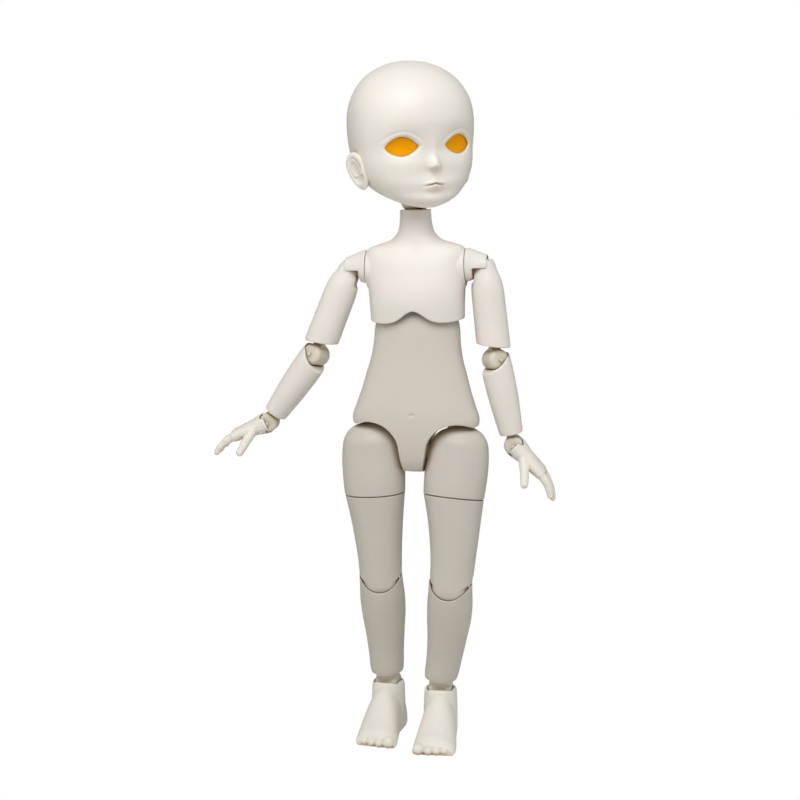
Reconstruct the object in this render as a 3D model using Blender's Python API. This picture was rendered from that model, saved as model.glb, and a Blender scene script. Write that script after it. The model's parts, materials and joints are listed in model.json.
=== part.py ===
"""A jointed plastic doll, 30 cm tall, that stands on its own two feet.

The doll faces -Y, its left side is at +X, and the floor is at z = 0.
Every piece is modelled in the frame of its own joint and is posed by empties:
an empty sits on each joint's axis and carries the pieces that move with it.
All sizes are metres.
"""

from math import acos, asin, atan2, cos, degrees, exp, hypot, pi, radians, sin, sqrt

import bmesh
import bpy
from mathutils import Euler, Matrix, Vector

# Clearances and cutting
CLEARANCE = 0.0003
RUNNING_GAP = 0.0004
OVERRUN = 0.002

# Stance: where the pelvis hangs and which way its pieces turn
PELVIS_X = 0.01470
PELVIS_Y = -0.00147
HIP_HEIGHT = 0.1306
PELVIS_YAW = -9.4
PELVIS_ROLL = 1.0
WAIST_TILT = -2.6
HEAD_TURN = 32.4
HEAD_NOD = 0.0
HEAD_TILT = -2.0

# Belly and pelvis, one moulding
HIP_WIDTH = 0.0562
TORSO_DEPTH = 0.0272
STRIP_CLEARANCE = 0.0008
WAIST_RISE = 0.0596
BELLY_CROWN = 0.0076
NAVEL_RISE = 0.0174
NAVEL_RADIUS = 0.0011
NAVEL_DEPTH = 0.0007

# Waist ball inside the belly's top
WAIST_BALL_RADIUS = 0.0055
WAIST_STEM_RADIUS = 0.0026
WAIST_STEM_LENGTH = 0.0165
WAIST_MOUTH_RADIUS = 0.0052

# Chest shell with the neck
CHEST_RISE = 0.0460
CHEST_WIDTH = 0.0434
CHEST_DEPTH = 0.0316
CHEST_WALL = 0.0014
CHEST_HOLLOW_RISE = 0.0102
RIM_PEAK = 0.0054
RIM_PEAK_SPREAD = 0.0062
RIM_SIDE_LIFT = 0.0024

# Head
HEAD_HEIGHT = 0.0630
HEAD_WIDTH = 0.0546
HEAD_DEPTH = 0.0600
HEAD_WALL = 0.0024
NECK_RISE = 0.0510
NECK_SET_BACK = 0.0010
CHIN_DROP = 0.0043
HEAD_SET_BACK = 0.0020
NECK_BALL_RADIUS = 0.0068
NECK_STUD_RADIUS = 0.0024
NECK_STUD_LENGTH = 0.0180
NECK_SEAT_WALL = 0.0018
CAP_SEAM_SET_BACK = 0.0070
EYE_SPACING = 0.0254
EYE_RISE = 0.0262
EYE_OPENING_WIDTH = 0.0130
EYE_OPENING_HEIGHT = 0.0082
EYE_DIAMETER = 0.0140
EYE_BALL_RADIUS = 0.0080
EAR_RISE = 0.0172
EAR_HEIGHT = 0.0165
EAR_LENGTH = 0.0092
EAR_THICKNESS = 0.0046
EAR_SET_BACK = 0.0035
NOSE_RISE = 0.0178
MOUTH_RISE = 0.0098

# Arms
SHOULDER_SPACING = 0.0598
SHOULDER_RISE = 0.0205
SHOULDER_BALL_RADIUS = 0.0050
SHOULDER_KNUCKLE_RADIUS = 0.0034
SHOULDER_TONGUE = 0.0044
SHOULDER_SHAFT_RADIUS = 0.0026
SHOULDER_SHAFT_LENGTH = 0.0100
SHOULDER_WEB_THICKNESS = 0.0008
SHOULDER_WEB_RADIUS = 0.0062
SHOULDER_CAP_RADIUS = 0.0090
SHOULDER_CAP_REACH = 0.0015
SHOULDER_CAP_BORE_RADIUS = 0.0058
UPPER_ARM_LENGTH = 0.0405
UPPER_ARM_WIDTH = 0.0146
ARM_END_SLOPE_SHARE = 0.24
ELBOW_RADIUS = 0.0047
ELBOW_WIDTH = 0.0098
FOREARM_LENGTH = 0.0385
FOREARM_WIDTH = 0.0136
WRIST_RADIUS = 0.0042
WRIST_WIDTH = 0.0072
ARM_SHAFT_RADIUS = 0.0022
ARM_SHAFT_LENGTH = 0.0100
ARM_PIN_RADIUS = 0.0008
HAND_LENGTH = 0.0308
PALM_WIDTH = 0.0134
PALM_THICKNESS = 0.0070
FINGER_RADIUS = 0.00185
THUMB_RADIUS = 0.0022

# Legs
HIP_SPACING = 0.0382
HIP_BOSS_RADIUS = 0.0042
HIP_BOSS_REACH = 0.0076
HIP_SHAFT_RADIUS = 0.0024
HIP_SHAFT_LENGTH = 0.0060
HIP_KNUCKLE_RADIUS = 0.0042
HIP_TONGUE = 0.0052
HIP_PIN_RADIUS = 0.0011
THIGH_WIDTH = 0.0277
THIGH_DEPTH = 0.0262
THIGH_TOP = 0.0118
THIGH_SEAM_DROP = 0.0196
THIGH_LENGTH = 0.0605
THIGH_STEM_RADIUS = 0.0040
THIGH_STEM_LENGTH = 0.0065
KNEE_WIDTH = 0.0186
KNEE_RADIUS = 0.0084
KNEE_ARCH_RADIUS = 0.0108
KNEE_KNUCKLE_WIDTH = 0.0140
KNEE_NOTCH_SHARE = 1.95
CALF_NOTCH_SHARE = 1.02
KNEE_PIN_RADIUS = 0.0012
SHIN_LENGTH = 0.0505
SHIN_END_GAP = 0.0068
ANKLE_HEIGHT = 0.0215
ANKLE_RADIUS = 0.0052
ANKLE_WIDTH = 0.0104
ANKLE_NECK_THICKNESS = 0.0054
ANKLE_SHAFT_RADIUS = 0.0028
ANKLE_PIN_RADIUS = 0.0011
ANKLE_SHAFT_LENGTH = 0.0150
FOOT_HEEL = 0.0125
FOOT_TOE = 0.0315
FOOT_WIDTH = 0.0186
COLLAR_RISE = 0.0034
COLLAR_WIDTH = 0.0152
COLLAR_DEPTH = 0.0164
SOLE_TRIM = 0.0004

# Pose of each limb, in degrees, and where each ankle stands
ARM_POSES = {
    "right": {"swing": 0.0, "raise": 23.2, "twist": 65.0, "bend": -16.0, "wrist": 25.0, "hand": -31.0},
    "left": {"swing": 0.0, "raise": 5.0, "twist": 55.0, "bend": -7.0, "wrist": 35.0, "hand": -32.0},
}
ANKLE_PLACES = {"right": (-0.0120, 0.0152), "left": (0.0115, 0.0032)}
FOOT_YAWS = {"right": -18.0, "left": -8.0}
KNEE_OUT_TURN = 4.0

# Roundness of the turned and lofted pieces
BODY_SIDES = 26
THIGH_SIDES = 22
LIMB_SIDES = 18
ROUND_SIDES = 18
HEAD_SIDES = 32
SMALL_SIDES = 12
PIN_SIDES = 8
DIGIT_SIDES = 7

# Sections as shares: height of the rise, half width, front and back depth,
# set-back (all of half the width or half the depth), then the squareness.
BELLY_SHARES = (
    (-0.134, 0.18, 0.25, 0.32, 0, 2.2),
    (-0.122, 0.33, 0.49, 0.56, 0, 2.2),
    (-0.075, 0.54, 0.71, 0.78, 0, 2.2),
    (0, 0.74, 0.85, 0.93, 0, 2.2),
    (0.090, 0.905, 0.935, 0.98, 0, 2.2),
    (0.164, 0.98, 0.97, 0.99, 0, 2.2),
    (0.216, 1, 0.99, 0.98, 0, 2.2),
    (0.30, 0.94, 1, 0.925, 0, 2.2),
    (0.40, 0.86, 0.98, 0.86, 0, 2.2),
    (0.505, 0.79, 0.95, 0.81, 0, 2.2),
    (0.61, 0.72, 0.92, 0.78, 0, 2.2),
    (0.715, 0.68, 0.91, 0.77, 0, 2.2),
    (0.80, 0.665, 0.91, 0.77, 0, 2.2),
    (0.85, 0.645, 0.89, 0.76, 0, 2.2),
    (0.895, 0.60, 0.83, 0.71, 0, 2.2),
    (0.94, 0.52, 0.69, 0.62, 0, 2.1),
    (0.98, 0.355, 0.455, 0.425, 0, 2),
    (1, 0.21, 0.265, 0.265, 0, 2),
)
CHEST_SHARES = (
    (-0.070, 0.955, 0.915, 0.78, 0, 2.5),
    (0, 0.96, 0.95, 0.80, 0, 2.5),
    (0.13, 0.98, 1, 0.815, 0, 2.5),
    (0.26, 0.995, 0.96, 0.82, 0, 2.6),
    (0.39, 1, 0.86, 0.80, 0, 2.7),
    (0.50, 1, 0.76, 0.75, 0, 2.9),
    (0.587, 0.995, 0.645, 0.67, 0, 3.2),
    (0.64, 0.95, 0.555, 0.595, 0, 3),
    (0.674, 0.78, 0.495, 0.545, 0, 2.5),
    (0.722, 0.50, 0.455, 0.50, 0.03, 2.1),
    (0.787, 0.373, 0.437, 0.45, 0.063, 2),
    (0.87, 0.327, 0.418, 0.424, 0.063, 2),
    (1, 0.313, 0.424, 0.424, 0.063, 2),
)
HEAD_SHARES = (
    (0, 0.09, 0.073, 0.067, -0.533, 2),
    (0.013, 0.22, 0.133, 0.183, -0.50, 2),
    (0.035, 0.366, 0.247, 0.367, -0.467, 2),
    (0.067, 0.513, 0.327, 0.567, -0.42, 2),
    (0.111, 0.652, 0.42, 0.75, -0.333, 2),
    (0.167, 0.777, 0.527, 0.86, -0.25, 2.05),
    (0.23, 0.872, 0.607, 0.90, -0.17, 2.1),
    (0.302, 0.93, 0.697, 0.925, -0.11, 2.15),
    (0.381, 0.955, 0.747, 0.935, -0.075, 2.2),
    (0.476, 0.98, 0.82, 0.945, -0.06, 2.2),
    (0.587, 0.99, 0.873, 0.955, -0.06, 2.15),
    (0.683, 0.972, 0.867, 0.925, -0.055, 2.1),
    (0.778, 0.90, 0.807, 0.85, -0.045, 2.05),
    (0.857, 0.785, 0.70, 0.74, -0.03, 2),
    (0.921, 0.623, 0.553, 0.595, -0.012, 2),
    (0.968, 0.418, 0.367, 0.405, 0.005, 2),
    (0.994, 0.205, 0.18, 0.206, 0.013, 2),
    (1, 0.073, 0.067, 0.073, 0.013, 2),
)
# Depths down a limb as shares of its length, then half width, front and back.
UPPER_ARM_SHARES = (
    (0, 0.685, 0.685, 0.685, 0, 2),
    (0.045, 0.735, 0.73, 0.73, 0, 2),
    (0.10, 0.835, 0.81, 0.81, 0, 2),
    (0.165, 0.92, 0.885, 0.885, 0, 2),
    (0.26, 0.965, 0.93, 0.935, 0, 2),
    (0.42, 0.98, 0.95, 0.955, 0, 2),
    (0.62, 0.995, 0.96, 0.965, 0, 2),
    (0.82, 1, 0.96, 0.96, 0, 2),
    (0.874, 0.99, 0.95, 0.95, 0, 2),
    (0.894, 0.93, 0.89, 0.89, 0, 2),
)
FOREARM_SHARES = (
    (-0.09, 0.70, 0.70, 0.72, 0, 2),
    (-0.05, 0.90, 0.88, 0.92, 0, 2),
    (0.05, 0.99, 0.98, 0.99, 0, 2),
    (0.20, 1, 1, 1, 0, 2),
    (0.45, 0.96, 0.95, 0.96, 0, 2),
    (0.70, 0.86, 0.84, 0.84, 0, 2),
    (0.84, 0.80, 0.76, 0.76, 0, 2),
    (0.87, 0.78, 0.73, 0.73, 0, 2),
)
THIGH_TOP_SHARES = (
    (-1, 0.20, 0.18, 0.18, 0, 2),
    (-0.92, 0.42, 0.36, 0.36, 0, 2),
    (-0.72, 0.68, 0.61, 0.61, 0, 2),
    (-0.42, 0.87, 0.79, 0.79, 0, 2.05),
    (0, 0.97, 0.87, 0.88, 0, 2.1),
    (0.45, 1, 0.90, 0.93, 0, 2.1),
    (0.90, 1, 0.94, 0.97, 0, 2.1),
    (1.30, 0.985, 0.97, 0.99, 0, 2.1),
    (1.66, 0.965, 0.975, 0.99, 0, 2.1),
)
LOWER_THIGH_SHARES = (
    (0, 0.955, 0.975, 0.99, 0, 2.1),
    (0.25, 0.91, 0.93, 0.94, 0, 2.1),
    (0.50, 0.83, 0.84, 0.84, 0, 2.1),
    (0.75, 0.745, 0.75, 0.73, 0, 2.1),
    (0.90, 0.70, 0.70, 0.68, 0, 2.1),
    (0.985, 0.68, 0.66, 0.64, 0, 2.1),
)
SHIN_SHARES = (
    (0, 1, 1, 1, 0, 2),
    (0.12, 1.03, 1.03, 1.06, 0.02, 2),
    (0.28, 1.02, 0.99, 1.12, 0.06, 2),
    (0.50, 0.92, 0.88, 1.00, 0.06, 2),
    (0.72, 0.81, 0.78, 0.83, 0.03, 2),
    (0.84, 0.76, 0.75, 0.77, 0, 2),
    (0.865, 0.74, 0.73, 0.74, 0, 2),
)
# The foot from heel to toes: how far along, half width, height at that place.
FOOT_SHARES = (
    (0, 0.30, 0.30),
    (0.035, 0.56, 0.56),
    (0.12, 0.72, 0.82),
    (0.25, 0.78, 0.93),
    (0.38, 0.80, 0.86),
    (0.52, 0.83, 0.68),
    (0.68, 0.92, 0.49),
    (0.82, 0.99, 0.35),
    (0.91, 0.97, 0.27),
    (0.95, 0.90, 0.22),
)
# Each toe: sideways place from the inner side, reach, and radius.
TOE_SHARES = (
    (-0.66, 1.0, 0.33),
    (-0.14, 0.985, 0.24),
    (0.25, 0.955, 0.215),
    (0.58, 0.915, 0.20),
    (0.85, 0.86, 0.18),
)
PALM_SHARES = (
    (0.02, 0.78, 1.38, 1.38, 0, 2),
    (0.10, 0.80, 1.32, 1.32, 0, 2),
    (0.22, 0.86, 1.08, 1.10, 0, 2),
    (0.36, 0.97, 0.95, 0.97, 0, 2.2),
    (0.50, 1, 0.84, 0.86, 0, 2.3),
    (0.575, 0.98, 0.70, 0.74, 0, 2.3),
    (0.60, 0.90, 0.48, 0.52, 0, 2.2),
)
# Each finger: sideways place from the thumb's side, length and radius.
FINGER_SHARES = ((0.71, 0.40, 1.0), (0.24, 0.455, 1.0), (-0.23, 0.43, 0.98), (-0.68, 0.345, 0.90))
# The eye opening's outline: across from its middle outward, and up.
ALMOND_SHARES = (
    (-1, -0.10),
    (-0.72, 0.46),
    (-0.25, 0.93),
    (0.25, 1),
    (0.72, 0.62),
    (1, -0.02),
    (0.72, -0.62),
    (0.15, -0.96),
    (-0.45, -0.78),
)
# Forms on the face as shares of the head's height: across, rise, half width,
# half height and how far each stands out; their places start at the nose, the
# mouth and the middle of each eye.
NOSE_SHARES = (
    (0, 0, 0.032, 0.036, 0.042),
    (0, 0.08, 0.028, 0.09, 0.012),
    (-0.26, -0.05, 0.15, 0.13, 0.018),
    (0.26, -0.05, 0.15, 0.13, 0.018),
)
MOUTH_SHARES = (
    (0, 0.018, 0.06, 0.022, 0.014),
    (0, -0.026, 0.05, 0.02, 0.012),
)
SOCKET_SHARES = ((0, 0.01, 0.115, 0.085, -0.036),)
# The shoulder cap's slope: along from the chest outward, then its radius.
SHOULDER_CAP_SHARES = ((0, 0.93), (0.17, 0.985), (0.40, 0.90), (0.72, 0.78), (1, 0.71))
# The chest hollow's roof: rise and size.
CHEST_ROOF_SHARES = ((0.86, 0.93), (1.0, 0.78))
# The shin's top beside the knee: rise and depth, as shares of the knee's radius and width.
SHIN_TOP_SHARES = ((1.029, 0.52), (0.903, 0.74), (0.63, 0.91))
# The ankle's collar: rise over the ankle's axis as a share of its height, and size.
COLLAR_SHARES = ((-0.78, 1.0), (-0.40, 0.97), (-0.10, 0.97), (0.10, 1.0), (0.158, 0.97))
# A toe from behind to its tip: place in toe radii, and size.
TOE_FORM_SHARES = ((4.2, 0.86), (1.2, 1.0), (0.45, 0.92), (0.08, 0.62))


def material(name, colour, roughness, metallic=0.0):
    """A Principled material with one colour, roughness and metallic value."""
    made = bpy.data.materials.new(name)
    made.use_nodes = True
    shader = made.node_tree.nodes["Principled BSDF"]
    shader.inputs["Base Color"].default_value = (*colour, 1.0)
    shader.inputs["Roughness"].default_value = roughness
    shader.inputs["Metallic"].default_value = metallic
    return made


def pivot(name, parent, place, turn=(0, 0, 0)):
    """An empty on a joint's axis, posed under its parent; turn is in degrees."""
    empty = bpy.data.objects.new(name, None)
    bpy.context.scene.collection.objects.link(empty)
    empty.parent = parent
    empty.location = place
    empty.rotation_euler = Euler([radians(angle) for angle in turn])
    return empty


def solid(name, parent, rings, finish=None, smooth=True):
    """A closed skin over rings of points; a ring of one point is a pole."""
    mesh = bpy.data.meshes.new(name)
    work = bmesh.new()
    rows = [[work.verts.new(point) for point in ring] for ring in rings]
    for low, high in zip(rows, rows[1:]):
        count = max(len(low), len(high))
        for i in range(count):
            j = (i + 1) % count
            if len(low) == 1:
                work.faces.new((low[0], high[i], high[j]))
            elif len(high) == 1:
                work.faces.new((low[j], low[i], high[0]))
            else:
                work.faces.new((low[j], low[i], high[i], high[j]))
    for row in (rows[0], rows[-1]):
        if len(row) > 2:
            work.faces.new(row)
    bmesh.ops.recalc_face_normals(work, faces=work.faces)
    work.to_mesh(mesh)
    work.free()
    if smooth:
        mesh.shade_smooth()
        mesh.set_sharp_from_angle(angle=radians(40))
    made = bpy.data.objects.new(name, mesh)
    bpy.context.scene.collection.objects.link(made)
    made.parent = parent
    if finish:
        mesh.materials.append(finish)
    return made


def section(half_width, front, back, height, centre_y=0.0, squareness=2.0, sides=LIMB_SIDES):
    """One superellipse ring at a height, with its own front and back depth."""
    ring = []
    for i in range(sides):
        angle = 2 * pi * i / sides
        c, s = cos(angle), sin(angle)
        x = half_width * abs(c) ** (2 / squareness) * (1 if c > 0 else -1)
        depth = back if s > 0 else front
        y = depth * abs(s) ** (2 / squareness) * (1 if s > 0 else -1)
        ring.append(Vector((x, centre_y + y, height)))
    return ring


def loft(name, parent, shares, length, width, depth, finish=None, sides=LIMB_SIDES):
    """Sections from a table of shares, up a rise (or down, if length is negative)."""
    rings = []
    for along, wide, front, back, set_back, squareness in shares:
        rings.append(section(
            wide * width / 2, front * depth / 2, back * depth / 2,
            along * length, set_back * depth / 2, squareness, sides,
        ))
    return solid(name, parent, rings, finish)


AXES = {
    "X": Matrix(((0, 0, 1), (0, 1, 0), (-1, 0, 0))),
    "Y": Matrix(((1, 0, 0), (0, 0, 1), (0, -1, 0))),
    "Z": Matrix.Identity(3),
}


def turned(name, parent, profile, axis="Z", centre=(0, 0, 0), finish=None, sides=ROUND_SIDES):
    """A profile of (place along the axis, radius) turned round that axis."""
    rings = []
    for along, radius in profile:
        count = sides if radius > 0 else 1
        ring = []
        for i in range(count):
            angle = 2 * pi * (i + 0.5) / count
            point = Vector((radius * cos(angle), radius * sin(angle), along))
            ring.append(AXES[axis] @ point + Vector(centre))
        rings.append(ring)
    return solid(name, parent, rings, finish)


def rod(name, parent, start, end, radius, axis="Z", centre=(0, 0, 0), finish=None, sides=ROUND_SIDES):
    """A plain cylinder along an axis."""
    return turned(name, parent, ((start, radius), (end, radius)), axis, centre, finish, sides)


def ball(name, parent, radius, centre=(0, 0, 0), finish=None, sides=ROUND_SIDES, rows=10):
    """A whole sphere."""
    profile = [(-radius * cos(pi * i / rows), radius * sin(pi * i / rows)) for i in range(rows + 1)]
    profile[0] = (-radius, 0)
    profile[-1] = (radius, 0)
    return turned(name, parent, profile, "Z", centre, finish, sides)


def barrel(name, parent, radius, width, axis="X", finish=None, sides=ROUND_SIDES):
    """A cylinder across a joint whose ends are rounded over."""
    round_share = 0.4
    round_over = min(radius, width / 2) * round_share
    profile = [(-width / 2, radius - round_over)]
    for end in (-1, 1):
        steps = [(end * (width / 2 - round_over * (1 - sin(t))), radius - round_over * (1 - cos(t)))
                 for t in (pi / 4, 0)]
        profile += steps if end < 0 else steps[::-1]
    profile.append((width / 2, radius - round_over))
    return turned(name, parent, profile, axis, finish=finish, sides=sides)


def prism(name, parent, outline, low, high, axis="Y", finish=None):
    """An outline of (across, up) points pushed straight along X or Y."""
    rings = []
    for depth in (low, high):
        if axis == "Y":
            rings.append([Vector((a, depth, b)) for a, b in outline])
        else:
            rings.append([Vector((depth, a, b)) for a, b in outline])
    return solid(name, parent, rings, finish, smooth=False)


def swept_bar(reach, first, last, half_width, steps=4):
    """The convex outline that a bar of a half width sweeps about the origin, in degrees."""
    points = []
    for i in range(steps + 1):
        angle = radians(first + (last - first) * i / steps)
        across, up = cos(angle), sin(angle)
        for edge in (-half_width, half_width):
            points.append((reach * across - edge * up, reach * up + edge * across))
            points.append((-edge * up, edge * across))
    return hull(points)


def hull(points):
    """The convex outline round some points, in one turning sense."""
    ordered = sorted(set(points))
    chains = []
    for run in (ordered, ordered[::-1]):
        chain = []
        for point in run:
            while len(chain) > 1:
                a, b = chain[-2], chain[-1]
                if (b[0] - a[0]) * (point[1] - a[1]) - (b[1] - a[1]) * (point[0] - a[0]) > 0:
                    break
                chain.pop()
            chain.append(point)
        chains += chain[:-1]
    return chains


def apply(target, tool, operation):
    """A live Boolean whose tool is hidden from the model."""
    step = target.modifiers.new(tool.name, "BOOLEAN")
    step.object = tool
    step.operation = operation
    step.solver = "EXACT"
    tool.hide_render = True
    tool.display_type = "WIRE"


def cut(target, *tools):
    for tool in tools:
        apply(target, tool, "DIFFERENCE")


def join(target, *tools):
    for tool in tools:
        apply(target, tool, "UNION")


def slab(name, parent, low, high):
    """A box between two corners, used as a cutter."""
    outline = ((low[0], low[2]), (high[0], low[2]), (high[0], high[2]), (low[0], high[2]))
    return prism(name, parent, outline, low[1], high[1])


def knuckle(name, parent, radius, width, finish):
    """An arm's barrel across X with a neck up to the shaft that turns in the piece above."""
    made = barrel(name, parent, radius, width, finish=finish)
    half = ARM_SHAFT_RADIUS
    neck = slab(name + "_neck", parent, (-half, -half, 0), (half, half, radius + CLEARANCE))
    shaft = rod(name + "_shaft", parent, radius / 2, ARM_SHAFT_LENGTH, half, sides=SMALL_SIDES)
    join(made, neck, shaft)
    return made


def pin(name, parent, radius, width, finish, axis="X"):
    """A plain steel pin through a joint."""
    return rod(name, parent, -width / 2, width / 2, radius, axis, finish=finish, sides=PIN_SIDES)


def pin_hole(name, parent, radius, width, axis="X"):
    """The hole for a pin, with clearance all round and at both ends."""
    half = width / 2 + CLEARANCE
    return rod(name, parent, -half, half, radius + CLEARANCE, axis, sides=PIN_SIDES)


def build_belly(parent, plastic):
    """Belly and pelvis in one moulding: leg openings, hip bosses, waist socket and navel."""
    belly_rise = WAIST_RISE + BELLY_CROWN
    belly = loft("belly", parent, BELLY_SHARES, belly_rise, HIP_WIDTH, TORSO_DEPTH, plastic, BODY_SIDES)
    for side in (-1, 1):
        cut(belly, leg_opening(parent, side))
    boss = rod("hip_boss", parent, -HIP_BOSS_REACH, HIP_BOSS_REACH, HIP_BOSS_RADIUS, "X", sides=SMALL_SIDES)
    join(belly, boss)
    for side in (-1, 1):
        reach = HIP_BOSS_REACH + OVERRUN
        bore_end = HIP_BOSS_REACH - HIP_SHAFT_LENGTH - CLEARANCE
        ends = sorted((side * bore_end, side * reach))
        cut(belly, rod("hip_bore", parent, *ends, HIP_SHAFT_RADIUS + CLEARANCE, "X", sides=SMALL_SIDES))
    waist = (0, 0, WAIST_RISE)
    socket = ball("waist_socket", parent, WAIST_BALL_RADIUS + CLEARANCE, waist, sides=ROUND_SIDES)
    cone = ((WAIST_RISE, WAIST_STEM_RADIUS + CLEARANCE), (belly_rise + OVERRUN, WAIST_MOUTH_RADIUS))
    mouth = turned("waist_mouth", parent, cone, sides=SMALL_SIDES)
    join(socket, mouth)
    socket.modifiers[-1].name = "mouth"
    cut(belly, socket)
    navel_place = (0, -TORSO_DEPTH / 2 - NAVEL_RADIUS + NAVEL_DEPTH, NAVEL_RISE)
    cut(belly, ball("navel", parent, NAVEL_RADIUS, navel_place, sides=PIN_SIDES, rows=6))
    return belly


def leg_opening(parent, side):
    """The cut round a thigh's top: an arch seen from the front, right through the pelvis."""
    hip = HIP_SPACING / 2
    radius = THIGH_TOP + RUNNING_GAP
    outer = HIP_WIDTH / 2 + OVERRUN
    inner = hip - THIGH_WIDTH / 2 - STRIP_CLEARANCE
    drop = THIGH_TOP + OVERRUN
    outline = [(side * outer, -drop), (side * outer, radius + RUNNING_GAP)]
    steps = 7
    width_share = 1.08
    for i in range(steps + 1):
        angle = radians(60 + 108 * i / steps)
        across = hip + radius * width_share * cos(angle)
        outline.append((side * across, radius * sin(angle) + RUNNING_GAP * 2))
    outline.append((side * (inner + STRIP_CLEARANCE), -radius / 4))
    outline.append((side * inner, -drop / 2))
    outline.append((side * inner, -drop))
    return prism(f"leg_opening_{side}", parent, outline, -TORSO_DEPTH, TORSO_DEPTH)


def build_chest(parent, plastic):
    """The chest shell with its wavy lower rim, hollow below, and the neck in one with it."""
    chest = loft("chest", parent, CHEST_SHARES, CHEST_RISE, CHEST_WIDTH, CHEST_DEPTH, plastic, BODY_SIDES)
    hollow_shares = [row for row in CHEST_SHARES if row[0] * CHEST_RISE < CHEST_HOLLOW_RISE]
    first = hollow_shares[0]
    rings = []
    for along, wide, front, back, set_back, squareness in [(first[0] * 2, *first[1:]), *hollow_shares]:
        rings.append(section(
            wide * CHEST_WIDTH / 2 - CHEST_WALL, front * CHEST_DEPTH / 2 - CHEST_WALL,
            back * CHEST_DEPTH / 2 - CHEST_WALL, along * CHEST_RISE, set_back * CHEST_DEPTH / 2,
            squareness, BODY_SIDES))
    for rise_share, size_share in CHEST_ROOF_SHARES:
        rings.append(section(
            size_share * (CHEST_WIDTH / 2 - CHEST_WALL), size_share * (CHEST_DEPTH / 2 - CHEST_WALL),
            size_share * (TORSO_DEPTH / 2 - CHEST_WALL), rise_share * CHEST_HOLLOW_RISE, 0, 2.4, BODY_SIDES))
    hollow = solid("chest_hollow", parent, rings)
    bottom = CHEST_SHARES[0][0] * CHEST_RISE
    wave = []
    steps = 14
    span_share = 1.1
    for i in range(steps + 1):
        x = CHEST_WIDTH / 2 * (span_share * (2 * i / steps - 1))
        lift = RIM_PEAK * exp(-((x / RIM_PEAK_SPREAD) ** 2)) + RIM_SIDE_LIFT * (2 * x / CHEST_WIDTH) ** 6
        wave.append((x, bottom + RUNNING_GAP + lift))
    wave += [
        (CHEST_WIDTH, bottom + RUNNING_GAP), (CHEST_WIDTH, bottom - OVERRUN),
        (-CHEST_WIDTH, bottom - OVERRUN), (-CHEST_WIDTH, bottom + RUNNING_GAP),
    ]
    rim = prism("rim_wave", parent, wave, -CHEST_DEPTH, 0)
    bore_radius = WAIST_STEM_RADIUS + CLEARANCE
    stem_bore = rod("waist_bore", parent, 0, WAIST_STEM_LENGTH + CLEARANCE, bore_radius, sides=SMALL_SIDES)
    cut(chest, hollow, rim, stem_bore)
    neck = (0, NECK_SET_BACK, NECK_RISE)
    cup = ball("neck_cup", parent, NECK_BALL_RADIUS + CLEARANCE, neck)
    bore_low = NECK_RISE - NECK_STUD_LENGTH - CLEARANCE
    neck_bore = rod("neck_bore", parent, bore_low, NECK_RISE, NECK_STUD_RADIUS + CLEARANCE,
                    centre=(0, NECK_SET_BACK, 0), sides=SMALL_SIDES)
    cut(chest, cup, neck_bore)
    for side in (-1, 1):
        shaft_end = CHEST_WIDTH / 2
        ends = sorted((side * (shaft_end - SHOULDER_SHAFT_LENGTH - CLEARANCE), side * (shaft_end + OVERRUN)))
        bore_radius = SHOULDER_SHAFT_RADIUS + CLEARANCE
        centre = (0, 0, SHOULDER_RISE)
        cut(chest, rod("shoulder_bore", parent, *ends, bore_radius, "X", centre, sides=SMALL_SIDES))
    return chest


def shoulder_cap(word, side, parent, inner):
    """A half-round cap over the arm's top, sloping outward, on a round web beside the chest."""
    length = inner + SHOULDER_CAP_REACH
    profile = []
    for along, wide in SHOULDER_CAP_SHARES:
        profile.append((side * (along * length - inner), SHOULDER_CAP_RADIUS * wide))
    cap = turned(f"shoulder_cap_{word}", parent, profile, "X", sides=BODY_SIDES)
    bore_start = -side * (inner - SHOULDER_WEB_THICKNESS / 2)
    ends = sorted((bore_start, side * (SHOULDER_CAP_REACH + OVERRUN)))
    bore = rod(f"shoulder_cap_bore_{word}", parent, *ends, SHOULDER_CAP_BORE_RADIUS, "X", sides=LIMB_SIDES)
    far = SHOULDER_CAP_RADIUS * 2
    under = slab(f"shoulder_cap_under_{word}", parent, (-far, -far, -far), (far, far, -CLEARANCE))
    cut(cap, bore, under)
    faces = sorted((-side * (inner - CLEARANCE / 3), -side * (inner - SHOULDER_WEB_THICKNESS)))
    web = rod(f"shoulder_web_{word}", parent, *faces, SHOULDER_WEB_RADIUS, "X", sides=SMALL_SIDES + 4)
    return cap, web


def build_waist(tilt, bend, plastic, steel):
    """The waist ball, the pin through it and the stem that the chest turns on."""
    body = ball("waist_ball", tilt, WAIST_BALL_RADIUS, finish=plastic)
    slot_half = WAIST_STEM_RADIUS / 2 + CLEARANCE
    slot_depth = WAIST_MOUTH_RADIUS / 1.4
    reach = WAIST_BALL_RADIUS
    low = (-slot_half, -slot_depth, -reach / 2)
    swing = slab("waist_ball_slot", tilt, low, (slot_half, slot_depth, reach * 2))
    pin_length = WAIST_BALL_RADIUS * 1.5
    cut(body, swing, pin_hole("waist_pin_hole", tilt, ARM_PIN_RADIUS, pin_length))
    pin("waist_pin", tilt, ARM_PIN_RADIUS, pin_length, steel)
    stem_foot = WAIST_BALL_RADIUS + CLEARANCE
    stem = rod("waist_stem", bend, stem_foot, WAIST_STEM_LENGTH, WAIST_STEM_RADIUS, finish=plastic,
               sides=SMALL_SIDES)
    half = WAIST_STEM_RADIUS / 2
    depth = WAIST_STEM_RADIUS / 1.2
    tongue = slab("waist_tongue", bend, (-half, -depth, -depth), (half, depth, WAIST_BALL_RADIUS * 1.3))
    eye = pin_hole("waist_eye", bend, ARM_PIN_RADIUS, WAIST_BALL_RADIUS * 2)
    join(stem, tongue)
    cut(stem, eye)


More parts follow.
